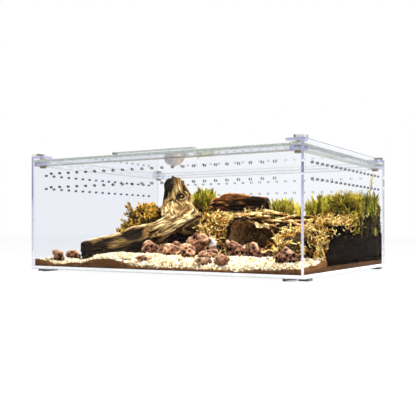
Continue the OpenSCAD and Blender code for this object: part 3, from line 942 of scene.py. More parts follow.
def spread_tree():
    """Spreads one of three shapes over a surface, thick where its stored cover is high."""
    tree = bpy.data.node_groups.new("Spread", "GeometryNodeTree")
    for label, kind in SPREAD_INPUTS:
        tree.interface.new_socket(name=label, in_out="INPUT", socket_type=kind)
    tree.interface.new_socket(name="Spread", in_out="OUTPUT", socket_type="NodeSocketGeometry")
    given, result = tree.nodes.new("NodeGroupInput"), tree.nodes.new("NodeGroupOutput")
    seed = out(given, "Seed")
    cover = add(tree, "GeometryNodeInputNamedAttribute", {"Name": "cover"}, data_type="FLOAT")
    density = maths(tree, "MULTIPLY", out(cover), out(given, "Density"))
    inputs = {"Mesh": out(given, "Surface"), "Density": density, "Seed": seed}
    points = add(tree, "GeometryNodeDistributePointsOnFaces", inputs)
    shapes = tree.nodes.new("GeometryNodeJoinGeometry")
    for letter in "CBA":
        inputs = {"Object": out(given, "Shape " + letter), "As Instance": True}
        shape = add(tree, "GeometryNodeObjectInfo", inputs)
        tree.links.new(out(shape, "Geometry"), shapes.inputs[0])
    level = add(tree, "ShaderNodeVectorMath", {0: (0, 0, 1), "Scale": out(given, "Upright")}, operation="SCALE")
    rest = maths(tree, "SUBTRACT", 1.0, out(given, "Upright"))
    inputs = {0: out(points, "Normal"), "Scale": rest}
    outward = add(tree, "ShaderNodeVectorMath", inputs, operation="SCALE")
    heading = add(tree, "ShaderNodeVectorMath", {0: out(level), 1: out(outward)}, operation="ADD")
    aligned = add(tree, "FunctionNodeAlignRotationToVector", {"Vector": out(heading)}, axis="Z")
    lean = out(given, "Lean")
    back = maths(tree, "MULTIPLY", lean, -1.0)
    low = add(tree, "ShaderNodeCombineXYZ", {0: back, 1: back, 2: -math.pi})
    high = add(tree, "ShaderNodeCombineXYZ", {0: lean, 1: lean, 2: math.pi})
    turn = random_between(tree, out(low), out(high), seed, "FLOAT_VECTOR")
    turned = add(tree, "FunctionNodeEulerToRotation", {0: turn})
    inputs = {"Rotation": out(aligned), "Rotate By": out(turned)}
    rotation = add(tree, "FunctionNodeRotateRotation", inputs, rotation_space="LOCAL")
    size = random_between(tree, out(given, "Smallest"), out(given, "Largest"), seed)
    inputs = {
        "Points": out(points, "Points"), "Instance": out(shapes), "Pick Instance": True,
        "Rotation": out(rotation), "Scale": size,
    }
    placed = add(tree, "GeometryNodeInstanceOnPoints", inputs)
    sink = add(tree, "ShaderNodeCombineXYZ", {2: maths(tree, "MULTIPLY", out(given, "Sink"), -1.0)})
    inputs = {"Instances": out(placed), "Translation": out(sink), "Local Space": True}
    moved = add(tree, "GeometryNodeTranslateInstances", inputs)
    tone = random_between(tree, 0.0, 1.0, maths(tree, "ADD", seed, 7.0))
    inputs = {"Geometry": out(moved), "Name": "tone", "Value": tone}
    toned = add(tree, "GeometryNodeStoreNamedAttribute", inputs, data_type="FLOAT", domain="INSTANCE")
    real = add(tree, "GeometryNodeRealizeInstances", {0: out(toned)})
    inputs = {"Geometry": out(real), "Material": out(given, "Finish")}
    tree.links.new(out(add(tree, "GeometryNodeSetMaterial", inputs)), result.inputs[0])
    return tree


SPREAD = spread_tree()


def spread(name, surface, shapes, material, slot, density, sizes=(0.8, 1.2), upright=0.5,
           lean=0.35, sink=0.0, seed=1, nodes=()):
    """A new piece: shapes spread over a surface by its cover. Density is in shapes per cm2."""
    holder = bpy.data.objects.new(name + "_holder", surface.data)
    scene.collection.objects.link(holder)
    modifier = holder.modifiers.new("Spread", "NODES")
    modifier.node_group = SPREAD
    sockets = {s.name: s.identifier for s in SPREAD.interface.items_tree if s.in_out == "INPUT"}
    settings = {
        "Density": density * 1e4, "Seed": seed, "Smallest": sizes[0], "Largest": sizes[1],
        "Upright": upright, "Lean": lean, "Sink": sink * MM, "Shape A": shapes[0],
        "Shape B": shapes[1], "Shape C": shapes[2], "Finish": material,
    }
    for label, value in settings.items():
        modifier[sockets[label]] = value
    graph = bpy.context.evaluated_depsgraph_get()
    evaluated = holder.evaluated_get(graph)
    mesh = bpy.data.meshes.new_from_object(evaluated, preserve_all_data_layers=True, depsgraph=graph)
    mesh.name = name
    bpy.data.objects.remove(holder)
    piece = bpy.data.objects.new(name, mesh)
    scene.collection.objects.link(piece)
    return keep_inside(finish_piece(piece, None, slot, *nodes))


def keep_inside(piece, margin=0.6):
    """Holds the points of a spread piece inside the panes, the base and the lid."""
    mesh = piece.data
    place = np.zeros(len(mesh.vertices) * 3, np.float32)
    mesh.vertices.foreach_get("co", place)
    place = place.reshape(-1, 3)
    reach = np.array([PANE_X - margin, PANE_Y - margin]) * MM
    place[:, :2] = np.clip(place[:, :2], -reach, reach)
    place[:, 2] = np.maximum(place[:, 2], (BASE_TOP + 0.3) * MM)
    mesh.vertices.foreach_set("co", place.ravel())
    mesh.update()
    return piece


# Wood

def wood_grain(grain, place, seed, groove=2.2, fine=0.9, lump=2.2, stretch=5.0):
    """How far weathered wood stands out, in millimetres, and its relief from 0 to 1."""
    bent = grain / (stretch, 1, 1) + 1.5 * noise(place, 12, seed + 9)[:, None]
    swell = layered(place, 24, 2, seed)
    worn = 0.3 + 0.7 * ramp(noise(place, 16, seed + 5), -0.4, 0.3)
    deep = worn * cracks(bent, 5.4, 0.16, seed + 1)
    thin = cracks(bent, 2.7, 0.22, seed + 2)
    fibre = layered(bent, 3.4, 4, seed + 3)
    rotten = ramp(noise(place, 20, seed + 7), 0.0, 0.45)
    pit = rotten * (1 - ramp(pores(grain / (2.0, 1, 1), 6.0, seed + 6), 0.15, 0.55))
    depth = lump * swell + 1.1 * fibre - groove * deep - fine * thin - 1.8 * pit
    relief = 0.6 + 0.36 * fibre + 0.08 * swell - 0.66 * deep - 0.3 * thin - 0.6 * pit
    return depth, np.clip(relief, 0, 1)


def level_rings(stations, rings, sides, power=2.0):
    """Level oval rings up a trunk, their directions outward, and their grain."""
    run = smooth_run(stations, rings)
    angle = np.linspace(0, 2 * np.pi, sides, endpoint=False)
    round_off = (np.abs(np.cos(angle)) ** power + np.abs(np.sin(angle)) ** power) ** (-1 / power)
    outward = np.stack([np.cos(angle) * round_off, np.sin(angle) * round_off, 0 * angle], axis=1)
    offset = outward[None] * np.stack([run[:, 3], run[:, 4], 0 * run[:, 3]], axis=1)[:, None]
    place = run[:, None, :3] + offset
    level = np.broadcast_to(run[:, None, 2], place.shape[:2])
    across = np.broadcast_to(outward * (*run[:, 3:].mean(axis=0), 0), place.shape)
    grain = np.stack([level, across[..., 0], across[..., 1]], axis=2)
    direction = np.broadcast_to(outward, place.shape)
    return place.reshape(-1, 3), direction.reshape(-1, 3), grain.reshape(-1, 3)


def lying_rings(stations, rings, sides, power=2.4):
    """Upright oval rings along a lying limb, their directions outward, and their grain."""
    run = smooth_run(stations, rings)
    centre = run[:, :3]
    step = np.gradient(centre, axis=0)
    length = np.concatenate([[0], np.cumsum(np.linalg.norm(np.diff(centre, axis=0), axis=1))])
    side = np.stack([-step[:, 1], step[:, 0], 0 * step[:, 0]], axis=1)
    side /= np.linalg.norm(side, axis=1)[:, None]
    angle = np.linspace(0, 2 * np.pi, sides, endpoint=False)
    round_off = (np.abs(np.cos(angle)) ** power + np.abs(np.sin(angle)) ** power) ** (-1 / power)
    across, rise = np.cos(angle) * round_off, np.sin(angle) * round_off
    direction = side[:, None] * across[None, :, None] + np.array([0, 0, 1.0]) * rise[None, :, None]
    wide, high = run[:, 3][:, None] * across, run[:, 4][:, None] * rise
    place = centre[:, None] + side[:, None] * wide[..., None] + np.array([0, 0, 1.0]) * high[..., None]
    grain = np.stack([np.broadcast_to(length[:, None], wide.shape), wide, high], axis=2)
    return place.reshape(-1, 3), direction.reshape(-1, 3), grain.reshape(-1, 3)


def capped(place, rings, sides, relief, tone, cap=9, depth=2.5, seed=5):
    """Closes both ends of a ring surface with rough shrinking rings."""
    grid = place.reshape(rings, sides, 3)
    shades = relief.reshape(rings, sides)
    tones = tone.reshape(rings, sides)
    layers, layer_shade, layer_tone = [grid], [shades], [tones]
    for end, step in ((0, 1), (rings - 1, -1)):
        middle = grid[end].mean(axis=0)
        outward = middle - grid[end + step * 3].mean(axis=0)
        outward /= np.linalg.norm(outward)
        disc = []
        for k in range(1, cap + 1):
            share = 1 - k / (cap + 0.5)
            ring = middle + (grid[end] - middle) * share
            rough = layered(ring, 5, 2, seed)
            disc.append(ring + outward * (rough * depth)[:, None] * (1 - share))
        shade = [0.45 + 0.25 * noise(ring, 3, seed + 1) for ring in disc]
        disc, shade = np.stack(disc), np.stack(shade)
        # The end caps get a low tone: the darker end grain, with painted shade on the near end of the limb, which
        # faces away from the light.
        dark_end_tone = np.full(disc.shape[:2], 0.1)
        if end == 0:
            layers.insert(0, disc[::-1])
            layer_shade.insert(0, shade[::-1])
            layer_tone.insert(0, dark_end_tone)
        else:
            layers.append(disc)
            layer_shade.append(shade)
            layer_tone.append(dark_end_tone)
    whole = np.concatenate(layers)
    shades = np.concatenate([s.reshape(-1) for s in layer_shade] + [np.full(2, 0.4)])
    tones = np.concatenate([t.reshape(-1) for t in layer_tone] + [np.full(2, 0.1)])
    return with_ends(whole), ring_faces(len(whole), sides), shades, tones


LIMB = [
    (-156.5, -88, 27, 11, 14.5), (-149, -69, 29, 13, 15), (-140, -50, 33, 14, 17), (-128, -18, 39, 16, 20),
    (-110, 10, 50, 16, 17), (-95, 24, 58, 16, 13), (-76, 37, 67, 15, 9), (-60, 46, 73, 13, 7),
    (-50, 51, 76, 11, 5.5),
]
LIMB_HOLLOW = (-123, -27, 53)


def make_limb(material):
    rings, sides = 300, 200
    place, direction, grain = lying_rings(LIMB, rings, sides, power=3.2)
    depth, relief = wood_grain(grain, place, 11)
    hollow = blob(place, LIMB_HOLLOW, (20, 24, 16))
    depth -= 8 * hollow + 1.2 * blob(place, (-120, -40, 30), 18)
    along = grain[:, 0] / grain[:, 0].max()
    rise = direction[:, 2]
    # Painted shade: the side of the limb that faces the front and its underside are darkened in tone, and so is the
    # hollow on its top; the orange patch on that side is the wood's own colour.
    near_side = np.maximum(0.5 * direction[:, 0] - 0.86 * direction[:, 1], 0)
    painted_side_shade = (1 - ramp(rise - 0.85 * near_side, 0.34, 0.6)) * (1 - ramp(along, 0.45, 0.62))
    relief += painted_side_shade * 0.5 * (0.5 - relief)
    tone = 0.6 - 0.4 * painted_side_shade - 0.8 * hollow - 0.14 * (1 - ramp(rise, -0.4, 0.1))
    tone += 0.16 * noise(place, 14, 4) + 0.08 * painted_side_shade * blob(place, (-131, -48, 27), 26)
    place = place + direction * depth[:, None]
    # the near end is sawn square to the front, and the far end spreads into the stump
    sawn = 1 - ramp(along, 0.0, 0.12)
    place[:, 1] -= 0.45 * sawn * grain[:, 1]
    toward_stump = ramp(direction[:, 0] * -0.8 + direction[:, 1] * 0.5, -0.6, 0.9)
    spread_up = ramp(place[:, 0], -118, -92) * (1 - ramp(place[:, 0], -82, -60)) * toward_stump
    place[:, 2] += 22 * spread_up
    place[:, 1] += 26 * spread_up
    place[:, 2] = np.maximum(place[:, 2], 13)
    points, faces, relief, tone = capped(place, rings, sides, relief, tone)
    limb = make_object("driftwood_limb", points, faces, {"relief": relief, "tone": tone})
    return finish_piece(limb, material, "driftwood", "driftwood_limb")


STUMP = [
    (-92, 60, 17, 24, 18), (-93, 63, 40, 27, 18), (-90, 58, 60, 29, 26), (-91, 58, 76, 30, 27),
    (-97, 62, 88, 28, 22), (-104, 67, 97, 25, 17), (-106, 70, 107, 25.5, 14), (-110, 72, 120, 20.5, 11),
    (-116, 73, 131, 16.5, 9), (-118, 73.5, 137, 13.5, 7.5),
]
STUMP_KNOTS = [(-90, 58, 108, 13), (-104, 54, 88, 8)]


def make_stump(material):
    rings, sides = 280, 230
    place, direction, grain = level_rings(STUMP, rings, sides)
    warp = 6 * noise(place, 18, 31)
    grain = grain + np.stack([0 * warp, warp, warp], axis=1)
    depth, relief = wood_grain(grain, place, 27, groove=3.0, fine=1.1, lump=2.8, stretch=4.0)
    calm = ramp(place[:, 2], 70, 96) * (1 - ramp(place[:, 0], -114, -104))
    relief += (0.25 + 0.3 * calm) * (0.5 - relief)
    tone = 0.58 + 0.1 * noise(place, 18, 7)
    for x, y, z, size in STUMP_KNOTS:
        near = blob(place, (x, y, z), size)
        far = np.linalg.norm(place - (x, y, z), axis=1)
        swirl = np.sin(far * 1.2 + 3.0 * noise(place, 8, 8))
        depth += near * (1.5 + 1.8 * swirl)
        relief += near * (0.45 * swirl - 0.3)
    # Painted shade: the left side of the stump, away from the light, is darker.
    left = 1 - ramp(place[:, 0], -124, -112)
    inner = ramp(place[:, 0] + 0.25 * (place[:, 2] - 110), -110, -96)
    upper = ramp(place[:, 2], 94, 112) * (1 - 0.6 * inner)
    tone -= 0.12 * left + 0.42 * upper
    # Painted shade in the notch at the top left, and a painted shadow on the foot of the stump under the limb.
    notch = blob(place, (-129, 66, 133), (14, 16, 10))
    tone -= 0.55 * notch + 0.6 * (1 - ramp(place[:, 2], 40, 60))
    place = place + direction * depth[:, None]
    lift = ramp(place[:, 2], 118, 134)
    place[:, 2] += lift * (0.14 * (place[:, 0] + 112) + 2.2 * layered(place * (1, 1, 0), 9, 3, 12))
    place[:, 2] -= 5 * lift * np.exp(-((place[:, 0] + 121) / 2.6) ** 2)
    points, faces, relief, tone = capped(place, rings, sides, np.clip(relief, 0, 1), tone, depth=-7)
    stump = make_object("driftwood_stump", points, faces, {"relief": relief, "tone": tone})
    return finish_piece(stump, material, "driftwood", "driftwood_stump")


def driftwood_material():
    colours = ("1A1108", "8A6E3E", "EEDCA8", "7C5626")
    return natural_material(
        "driftwood", colours, 26, 1.2, 0.35, patch_share=0.6, bump=0.8, bump_mm=0.5, tone=0.62
    )


SLAB = [
    (-42, 73, 95, 9, 6), (-31, 73, 96, 14, 10), (-14, 74, 96, 17, 13), (4, 75, 95.5, 18, 13.5),
    (22, 76, 94, 17.5, 12.5), (36, 77.5, 92.5, 17, 11.5), (46, 78.5, 91.5, 16.5, 11),
]


def make_slab():
    rings, sides = 260, 190
    place, direction, grain = lying_rings(SLAB, rings, sides, power=3.0)
    bent = grain / (5, 1, 1) + 1.4 * noise(place, 14, 40)[:, None]
    layer = (grain[:, 2] + 0.5 * grain[:, 1]) / 3.8 + 1.4 * noise(place, 15, 41) + 0.6 * noise(bent, 4, 42)
    step = layer - np.floor(layer)
    furrow = cracks(bent, 5.0, 0.22, 43)
    fibre = layered(bent, 3.4, 4, 44)
    depth = 2.0 * step + 1.5 * fibre - 3.2 * furrow + 2.2 * layered(place, 15, 2, 45) - 0.6
    relief = np.clip(0.26 + 0.4 * step + 0.38 * fibre - 0.7 * furrow, 0, 1)
    tone = 0.52 - 0.34 * ramp(place[:, 0], 24, 38) + 0.2 * noise(place, 13, 46)
    # Painted light and shade: the top of the slab is lighter and its underside darker.
    tone += 0.12 * ramp(direction[:, 2], 0.4, 0.9) - 0.3 * (1 - ramp(direction[:, 2], -0.5, 0.0))
    place = place + direction * depth[:, None]
    place[:, 2] = np.maximum(place[:, 2], 78.5)
    points, faces, relief, tone = capped(place, rings, sides, relief, tone, depth=5)
    slab = make_object("bark_slab", points, faces, {"relief": relief, "tone": tone})
    colours = ("1C1009", "6E4522", "D4944A", "8E5424")
    material = natural_material(
        "red_bark", colours, 12, 1.2, 0.4, patch_share=0.8, bump=0.9, bump_mm=0.6, tone=0.5
    )
    return finish_piece(slab, material, "red_bark", "bark_slab")


HIDE_RIM = [
    (31, 19), (29.5, 35), (29.5, 50), (32, 62), (38, 70), (47, 73.5), (58, 73.5), (67, 69),
    (75, 63), (83, 60.5), (90, 62), (98, 59), (106, 50), (111, 40), (112.5, 29), (112, 19),
]
HIDE_MIDDLE = (71, 24)


def hide_shell():
    """The cork tube: an outer and an inner skin, ragged at its mouth."""
    outer = smooth_run([(x, z) for x, z in HIDE_RIM], 110)
    middle = np.array(HIDE_MIDDLE, float)
    inner = middle + (outer - middle) * (0.935, 0.945)
    loop = np.concatenate([outer[::-1], inner])
    sides, rings = len(loop), 90
    share = np.linspace(0, 1, rings)
    shrink = 1 - 0.08 * share
    level = middle + (loop[None] - middle) * shrink[:, None, None]
    depth_y = -13 + 61 * share
    place = np.stack([level[..., 0], np.broadcast_to(depth_y[:, None], level.shape[:2]), level[..., 1]], axis=2)
    place = place.reshape(-1, 3)
    place[:, 2] = np.maximum(place[:, 2], 18.5)
    outside = np.tile(np.concatenate([np.ones(110), np.zeros(110)]), rings)
    away = place - np.array([middle[0], 0, middle[1]])
    away[:, 1] = 0
    away /= np.linalg.norm(away, axis=1)[:, None] + 1e-6
    streak = layered(place / (3.2, 1, 1), 4, 4, 51)
    crack = cracks(place / (3, 1.3, 1), 3.6, 0.24, 52)
    flake = 1.6 * layered(place / (2, 1, 1), 12, 3, 54)
    flake -= np.floor(flake)
    depth = np.where(outside > 0, 1.8 * streak - 2.2 * crack + 1.8 * flake, 0.9 * streak - 0.6 * crack)
    mouth = np.repeat(1 - ramp(share, 0.0, 0.07), sides)
    place[:, 1] -= mouth * (4.0 * layered(place * (1, 0, 1), 6, 4, 53) + 1.0)
    place += away * depth[:, None]
    place[:, 2] = np.maximum(place[:, 2], 18.5)
    lit = 0.4 + 0.36 * streak - 0.6 * crack + 0.3 * flake
    relief = np.where(outside > 0, lit, 0.66 + 0.2 * streak - 0.3 * crack)
    left = mouth * (1 - ramp(place[:, 0], 60, 74))
    relief = np.clip(relief + 0.25 * mouth - 0.5 * left, 0, 1)
    tone = np.where(outside > 0, 0.5, 0.62) + 0.12 * mouth - 0.4 * left
    points = with_ends(place.reshape(rings, sides, 3))
    faces = [face for face in ring_faces(rings, sides) if len(face) == 4]
    for start, flip in ((0, False), ((rings - 1) * sides, True)):
        for j in range(109):
            a, b, c, d = start + j, start + j + 1, start + 218 - j, start + 219 - j
            faces.append((a, d, c, b) if flip else (a, b, c, d))
    wall = sheet_wall(inner, 46.5)
    shell = (points[:-2], faces, {"relief": relief, "tone": np.clip(tone, 0, 1)})
    return join_parts([shell, wall])


def sheet_wall(outline, y):
    """The litter that closes the far end of the cork tube, as a thin rough plate."""
    count, out_count = len(outline), 16
    middle = outline.mean(axis=0)
    rings = []
    for side in (0, 1):
        for share in np.linspace(0.04, 1.04, out_count)[::1 - 2 * side]:
            flat = middle + (outline - middle) * share
            lump = 1.2 * layered(np.stack([flat[:, 0], flat[:, 1], 0 * flat[:, 0]], axis=1), 8, 3, 57)
            rings.append(np.stack([flat[:, 0], y + 2 * side + lump, np.maximum(flat[:, 1], 18.5)], axis=1))
    points = with_ends(np.stack(rings))
    relief = 0.6 + 0.25 * noise(points, 4, 58)
    return points, ring_faces(2 * out_count, count), {"relief": relief, "tone": np.full(len(points), 0.25)}


HIDE_PLATES = [
    (62, 8, 75, 20, 11, 1.6, -6), (88, 2, 69, 17, 10, 1.6, 6), (100, 14, 71, 22, 12, 1.8, -4),
    (118, -2, 64, 16, 11, 1.6, 10), (80, 24, 77, 26, 11, 1.8, -3), (122, 16, 68, 20, 11, 1.6, 4),
    (106, -10, 60, 13, 8, 1.5, 18), (54, 22, 78, 20, 11, 1.6, -8), (134, 4, 60, 13, 12, 1.8, 16),
    (94, -4, 64, 15, 8, 1.4, 12), (74, -2, 71, 14, 8, 1.4, -10), (112, 26, 73, 22, 10, 1.6, -2),
    (110, 6, 67, 18, 9, 1.4, 2), (128, -8, 56, 12, 8, 1.5, 24), (68, 34, 80, 20, 9, 1.5, 5),
    (46, 8, 73, 12, 9, 1.5, -18),
]


def bark_plate(x, y, z, long, deep, thick, tilt, seed):
    """A ragged flat flake of cork bark: a lens with torn edges."""
    around_count, out_count = 100, 14
    angle = np.linspace(0, 2 * np.pi, around_count, endpoint=False)
    rim = np.stack([long * np.cos(angle), deep * np.sin(angle), 0 * angle], axis=1)
    rim *= (1 + 0.3 * layered(rim, 9, 4, seed))[:, None]
    share = np.linspace(0.03, 1, out_count)
    profile = np.sqrt(np.clip(1 - share**4, 0, 1))
    rings = [np.stack([rim[:, 0] * s, rim[:, 1] * s, -thick * p + 0 * angle], axis=1) for s, p in zip(share, profile)]
    rings += [np.stack([rim[:, 0] * s, rim[:, 1] * s, thick * p + 0 * angle], axis=1)
              for s, p in zip(share[-2::-1], profile[-2::-1])]
    place = np.concatenate(rings)
    bent = place / (3.0, 1, 1) + 1.2 * noise(place, 9, seed + 7)[:, None]
    streak = layered(bent, 3.0, 4, seed + 1)
    crack = cracks(bent, 3.4, 0.26, seed + 2)
    flake = 1.5 * layered(bent, 8, 2, seed + 4)
    flake -= np.floor(flake)
    place = place + np.stack([0 * streak, 0 * streak, 1.2 * streak - 1.6 * crack + 0.9 * flake], axis=1)
    place[:, 2] += 3.0 * noise(place, 22, seed + 3)
    relief = np.clip(0.42 + 0.36 * streak - 0.6 * crack + 0.3 * flake, 0, 1)
    turn = math.radians(tilt)
    placed = place.copy()
    placed[:, 0] = place[:, 0] * math.cos(turn) + place[:, 2] * math.sin(turn) + x
    placed[:, 2] = place[:, 2] * math.cos(turn) - place[:, 0] * math.sin(turn) + z
    placed[:, 1] += y
    count = 2 * out_count - 1
    tone = 0.5 + 0.25 * noise(placed, 16, seed + 5)
    points = with_ends(placed.reshape(count, around_count, 3))
    pad = np.full(2, 0.5)
    values = {"relief": np.concatenate([relief, pad]), "tone": np.concatenate([tone, pad])}
    return points, ring_faces(count, around_count), values


def make_hide():
    parts = [hide_shell()]
    parts += [bark_plate(*plate, 60 + 5 * k) for k, plate in enumerate(HIDE_PLATES)]
    points, faces, values = join_parts(parts)
    hide = make_object("cork_hide", points, faces, values)
    colours = ("1C130A", "8C6430", "F0D694", "A8702C")
    material = natural_material(
        "cork_bark", colours, 14, 1.2, 0.4, patch_share=0.6, bump=0.8, bump_mm=0.5, tone=0.5
    )
    return finish_piece(hide, material, "cork_bark", "cork_hide")


# Stones

def rough_stone(place, radii, height, seed, level=6, pitted=1.0):
    """A broken stone with flat faces and pores, standing on its flattened foot."""
    bm = bmesh.new()
    bmesh.ops.create_icosphere(bm, subdivisions=level, radius=1.0)
    unit = np.array([v.co[:] for v in bm.verts])
    faces = [tuple(v.index for v in face.verts) for face in bm.faces]
    bm.free()
    chance = np.random.default_rng(seed)
    normals = chance.normal(size=(15, 3))
    normals /= np.linalg.norm(normals, axis=1)[:, None]
    offsets = chance.uniform(0.74, 1.02, 15)
    press = np.maximum(unit @ normals.T, 0) / offsets
    reach = 1.0 * (press ** 12).sum(axis=1) ** (-1 / 12)
    size = np.array([radii[0], radii[1], height / 2])
    body = unit * size * np.clip(reach, 0.7, 1.3)[:, None]
    spot = body + np.array([seed * 31.7, seed * 17.3, seed * 7.9])
    big, small = pores(spot, 6.4, seed), pores(spot, 3.0, seed + 5)
    hole = (1 - ramp(big, 0.1, 0.6)) * 1.0 + (1 - ramp(small, 0.1, 0.55)) * 0.4
    grit = layered(spot, 7.0, 4, seed + 8)
    points = body + unit * (1.5 * grit - 2.1 * pitted * hole)[:, None]
    points[:, 2] = np.maximum(points[:, 2], -0.86 * size[2])
    points += np.array(place) + (0, 0, 0.86 * size[2])
    # Painted shade in the pits, and painted light on the top of each stone.
    relief = 0.6 + 0.34 * grit - 0.62 * pitted * hole + 0.12 * unit[:, 2]
    tone = np.full(len(points), chance.uniform(0.25, 0.75))
    return points, faces, {"relief": np.clip(relief, 0, 1), "tone": tone}


ROCKS = {
    "lava_rocks_front": [
        (-173, -127, 13, 9, 8.5, 15), (-181, -88, 13, 10, 10, 16), (-29, -127, 12, 12, 10, 14),
        (64, -131, 12, 8, 7.5, 13), (85, -128, 11, 9, 8.5, 16),
    ],
    "lava_rocks_middle": [
        (-29, -63, 19, 12, 11, 21), (-12, -52, 19, 8, 8, 18), (12, -84, 18, 11, 11, 21),
        (42, -84, 17, 11, 10, 17), (34, -64, 19, 10, 9, 18), (62, -52, 19, 14, 12, 23),
        (86, -43, 20, 10, 9, 20), (106, -58, 19, 10, 9, 13), (157, -97, 14, 13, 11, 24),
    ],
    "lava_rocks_rear": [
        (-79, -38, 19, 13, 13, 20.5), (-57, -32, 19, 9, 9, 19), (-9, -26, 19, 18, 15, 36),
        (71, -26, 19, 10, 9, 20), (-36, -30, 20, 9, 9, 22),
    ],
}


def make_rocks():
    colours = ("170D09", "80533A", "D4AC84", "643E34")
    material = natural_material(
        "lava_rock", colours, 14, 1.4, 0.4, patch_share=0.7, bump=0.9, bump_mm=0.6, tone=0.22
    )
    seed = 1
    for node, stones in ROCKS.items():
        parts = []
        for x, y, z, wide, deep, height in stones:
            level = 6 if wide > 9 else 5
            parts.append(rough_stone((x, y, z), (wide, deep), height, seed, level))
            seed += 1
        points, faces, values = join_parts(parts)
        rocks = make_object(node, points, faces, values)
        finish_piece(rocks, material, "lava_rock", node)
    points, faces, values = rough_stone((4, -9, 19), (6.5, 6), 29, 40, 6, pitted=0.2)
    stone = make_object("pale_stone", points, faces, values)
    colours = ("6E6A60", "B9B6A8", "EFEEE6", "8F948E")
    material = natural_material("pale_stone", colours, 8, 1.0, 0.3, bump=0.5, bump_mm=0.3)
    return finish_piece(stone, material, "pale_stone", "pale_stone")


# Mosses

def mound_surface(centre, radii, height, flat=0.3, seed=1, lump=3.0, slant=0.0, corner=1.0):
    """The lumpy core of a moss bank, as the CAD mound but a little smaller."""
    sides, wall, cap = 150, 40, 22
    angle = np.linspace(0, 2 * np.pi, sides, endpoint=False)
    turn = np.linspace(0, np.pi / 2, wall)
    share = list(flat + (1 - flat) * np.cos(turn)) + list(flat * np.linspace(0.95, 0.05, cap))
    rise = list(np.sin(turn)) + [1.0] * cap
    rings = []
    for reach, level in zip(share, rise):
        x = centre[0] + radii[0] * reach * np.sign(np.cos(angle)) * np.abs(np.cos(angle)) ** corner
        y = centre[1] + radii[1] * reach * np.sign(np.sin(angle)) * np.abs(np.sin(angle)) ** corner
        rings.append(np.stack([x, y, centre[2] + height * level + 0 * angle], axis=1))
    rings = np.stack(rings)
    place = rings.reshape(-1, 3)
    away = place - (np.array(centre) + (0, 0, height * 0.3))
    away /= np.linalg.norm(away, axis=1)[:, None]
    bump = layered(place, 14, 3, seed)
    level = np.clip((place[:, 2] - centre[2]) / height, 0, 1)
    place[:, 2] += slant * level * (place[:, 1] - centre[1]) / radii[1]
    place = place + away * (lump * bump - 2.5)[:, None]
    place[:, 0] = np.clip(place[:, 0], -PANE_X + 1, PANE_X - 1)
    place[:, 1] = np.clip(place[:, 1], -PANE_Y + 1, PANE_Y - 1)
    points = with_ends(place.reshape(len(share), sides, 3))
    relief = np.clip(0.3 + 0.3 * bump, 0, 1)
    return points, ring_faces(len(share), sides), np.append(relief, [0.3, 0.3])


def make_bank(node, slot, material, centre, radii, height, cover, **shape):
    points, faces, relief = mound_surface(centre, radii, height, **shape)
    bare = ramp(np.abs(points[:, 0]), 192.5, 194.5) + ramp(np.abs(points[:, 1]), 142.5, 144.5)
    values = {"relief": relief, "cover": np.clip(cover(points) * (1 - np.clip(bare, 0, 1)), 0, 1)}
    bank = make_object(node, points, faces, values)
    return finish_piece(bank, material, slot, node)


def with_cover(bank, cover):
    """The same surface with another cover, for a second spread."""
    mesh = bank.data
    place = np.zeros(len(mesh.vertices) * 3, np.float32)
    mesh.vertices.foreach_get("co", place)
    place = place.reshape(-1, 3) / MM
    bare = ramp(np.abs(place[:, 0]), 192.5, 194.5) + ramp(np.abs(place[:, 1]), 142.5, 144.5)
    values = np.clip(cover(place) * (1 - np.clip(bare, 0, 1)), 0, 1)
    mesh.attributes["cover"].data.foreach_set("value", values.astype(np.float32))
    return bank


LEAVES = {
    "olive_leaf": ("0A0702", "4C3A10", "DEB042", "623C0C"),
    "grass_leaf": ("121204", "6C6410", "D2C446", "4A5A0F"),
    "fern_leaf": ("0C0C03", "6C6010", "D8C044", "5E6A12"),
    # A darker, greener copy of the fern leaf: painted shade, and a greener colour.
    "shaded_green_leaf": ("0A0A02", "50500C", "B2A636", "46540C"),
    # A much darker copy of the fern leaf: painted shade low on the fern, and pressed moss on the corner column.
    "shade_leaf": ("080603", "221B0B", "4C401B", "2A1D09"),
    "dry_leaf": ("261806", "A87A32", "F6DC96", "8C5A1C"),
    "straw_leaf": ("160D04", "A66C1C", "FAE08A", "7E480E"),
}


def everywhere(points):
    return np.ones(len(points))


def make_chips(soil):
    """Wood chips over the front of the soil."""
    shapes = [wood_chip(seed) for seed in (151, 152, 153)]
    colours = ("7A5226", "E8D09A", "FFF8E0", "CFA868")
    material = natural_material("wood_chip", colours, 30, 1.2, 0.25, patch_share=0.4, bump=0.3, bump_mm=0.3, tone=0.55)
    spread("chip_layer", soil, shapes, material, "wood_chip", 21, (0.55, 1.35), 0.4, 0.75, seed=9, nodes=("chip_layer",))


def make_bank_soil(material):
    """The dark block of soil against the right pane."""
    xs, ys = np.linspace(162, PANE_X, 60), np.linspace(-73, PANE_Y, 210)
    grid_x, grid_y = (g.ravel() for g in np.meshgrid(xs, ys))
    flat = np.stack([grid_x, grid_y, np.zeros(len(grid_x))], axis=1)
    edge_y = -72 + 1.45 * (PANE_X - grid_x) + 5 * noise(flat, 9, 63)
    rise = ramp(grid_y - edge_y, -2, 18) ** 0.45 * (0.6 + 0.4 * ramp(grid_x, 162, 168))
    crumbs = layered(flat, 9, 4, 61)
    heights = 15 + 32 * rise + 4.0 * crumbs * rise + 3 * ramp(grid_y, 90, 140)
    points, faces = sheet_block(xs, ys, heights, 13, 26)
    relief = 0.4 + 0.35 * layered(points, 5, 3, 62)
    inward = points[:, 1] + 73 - 1.45 * (PANE_X - points[:, 0])
    front = 1 - ramp(inward + 7 * noise(points, 9, 65), 9, 16)
    at_pane = ramp(points[:, 0], 184, 190) * ramp(points[:, 1], -56, -40)
    hanging = ramp(points[:, 2] + 6 * noise(points, 9, 64), 40, 46) * (1 - ramp(points[:, 1], 44, 84))
    hanging *= 1 - at_pane
    cover = np.maximum(front * ramp(points[:, 2], 14, 18), hanging)
    bank = make_object("soil_bank", points, faces, {"relief": relief, "cover": cover})
    return finish_piece(bank, material, "dark_soil", "soil_bank")


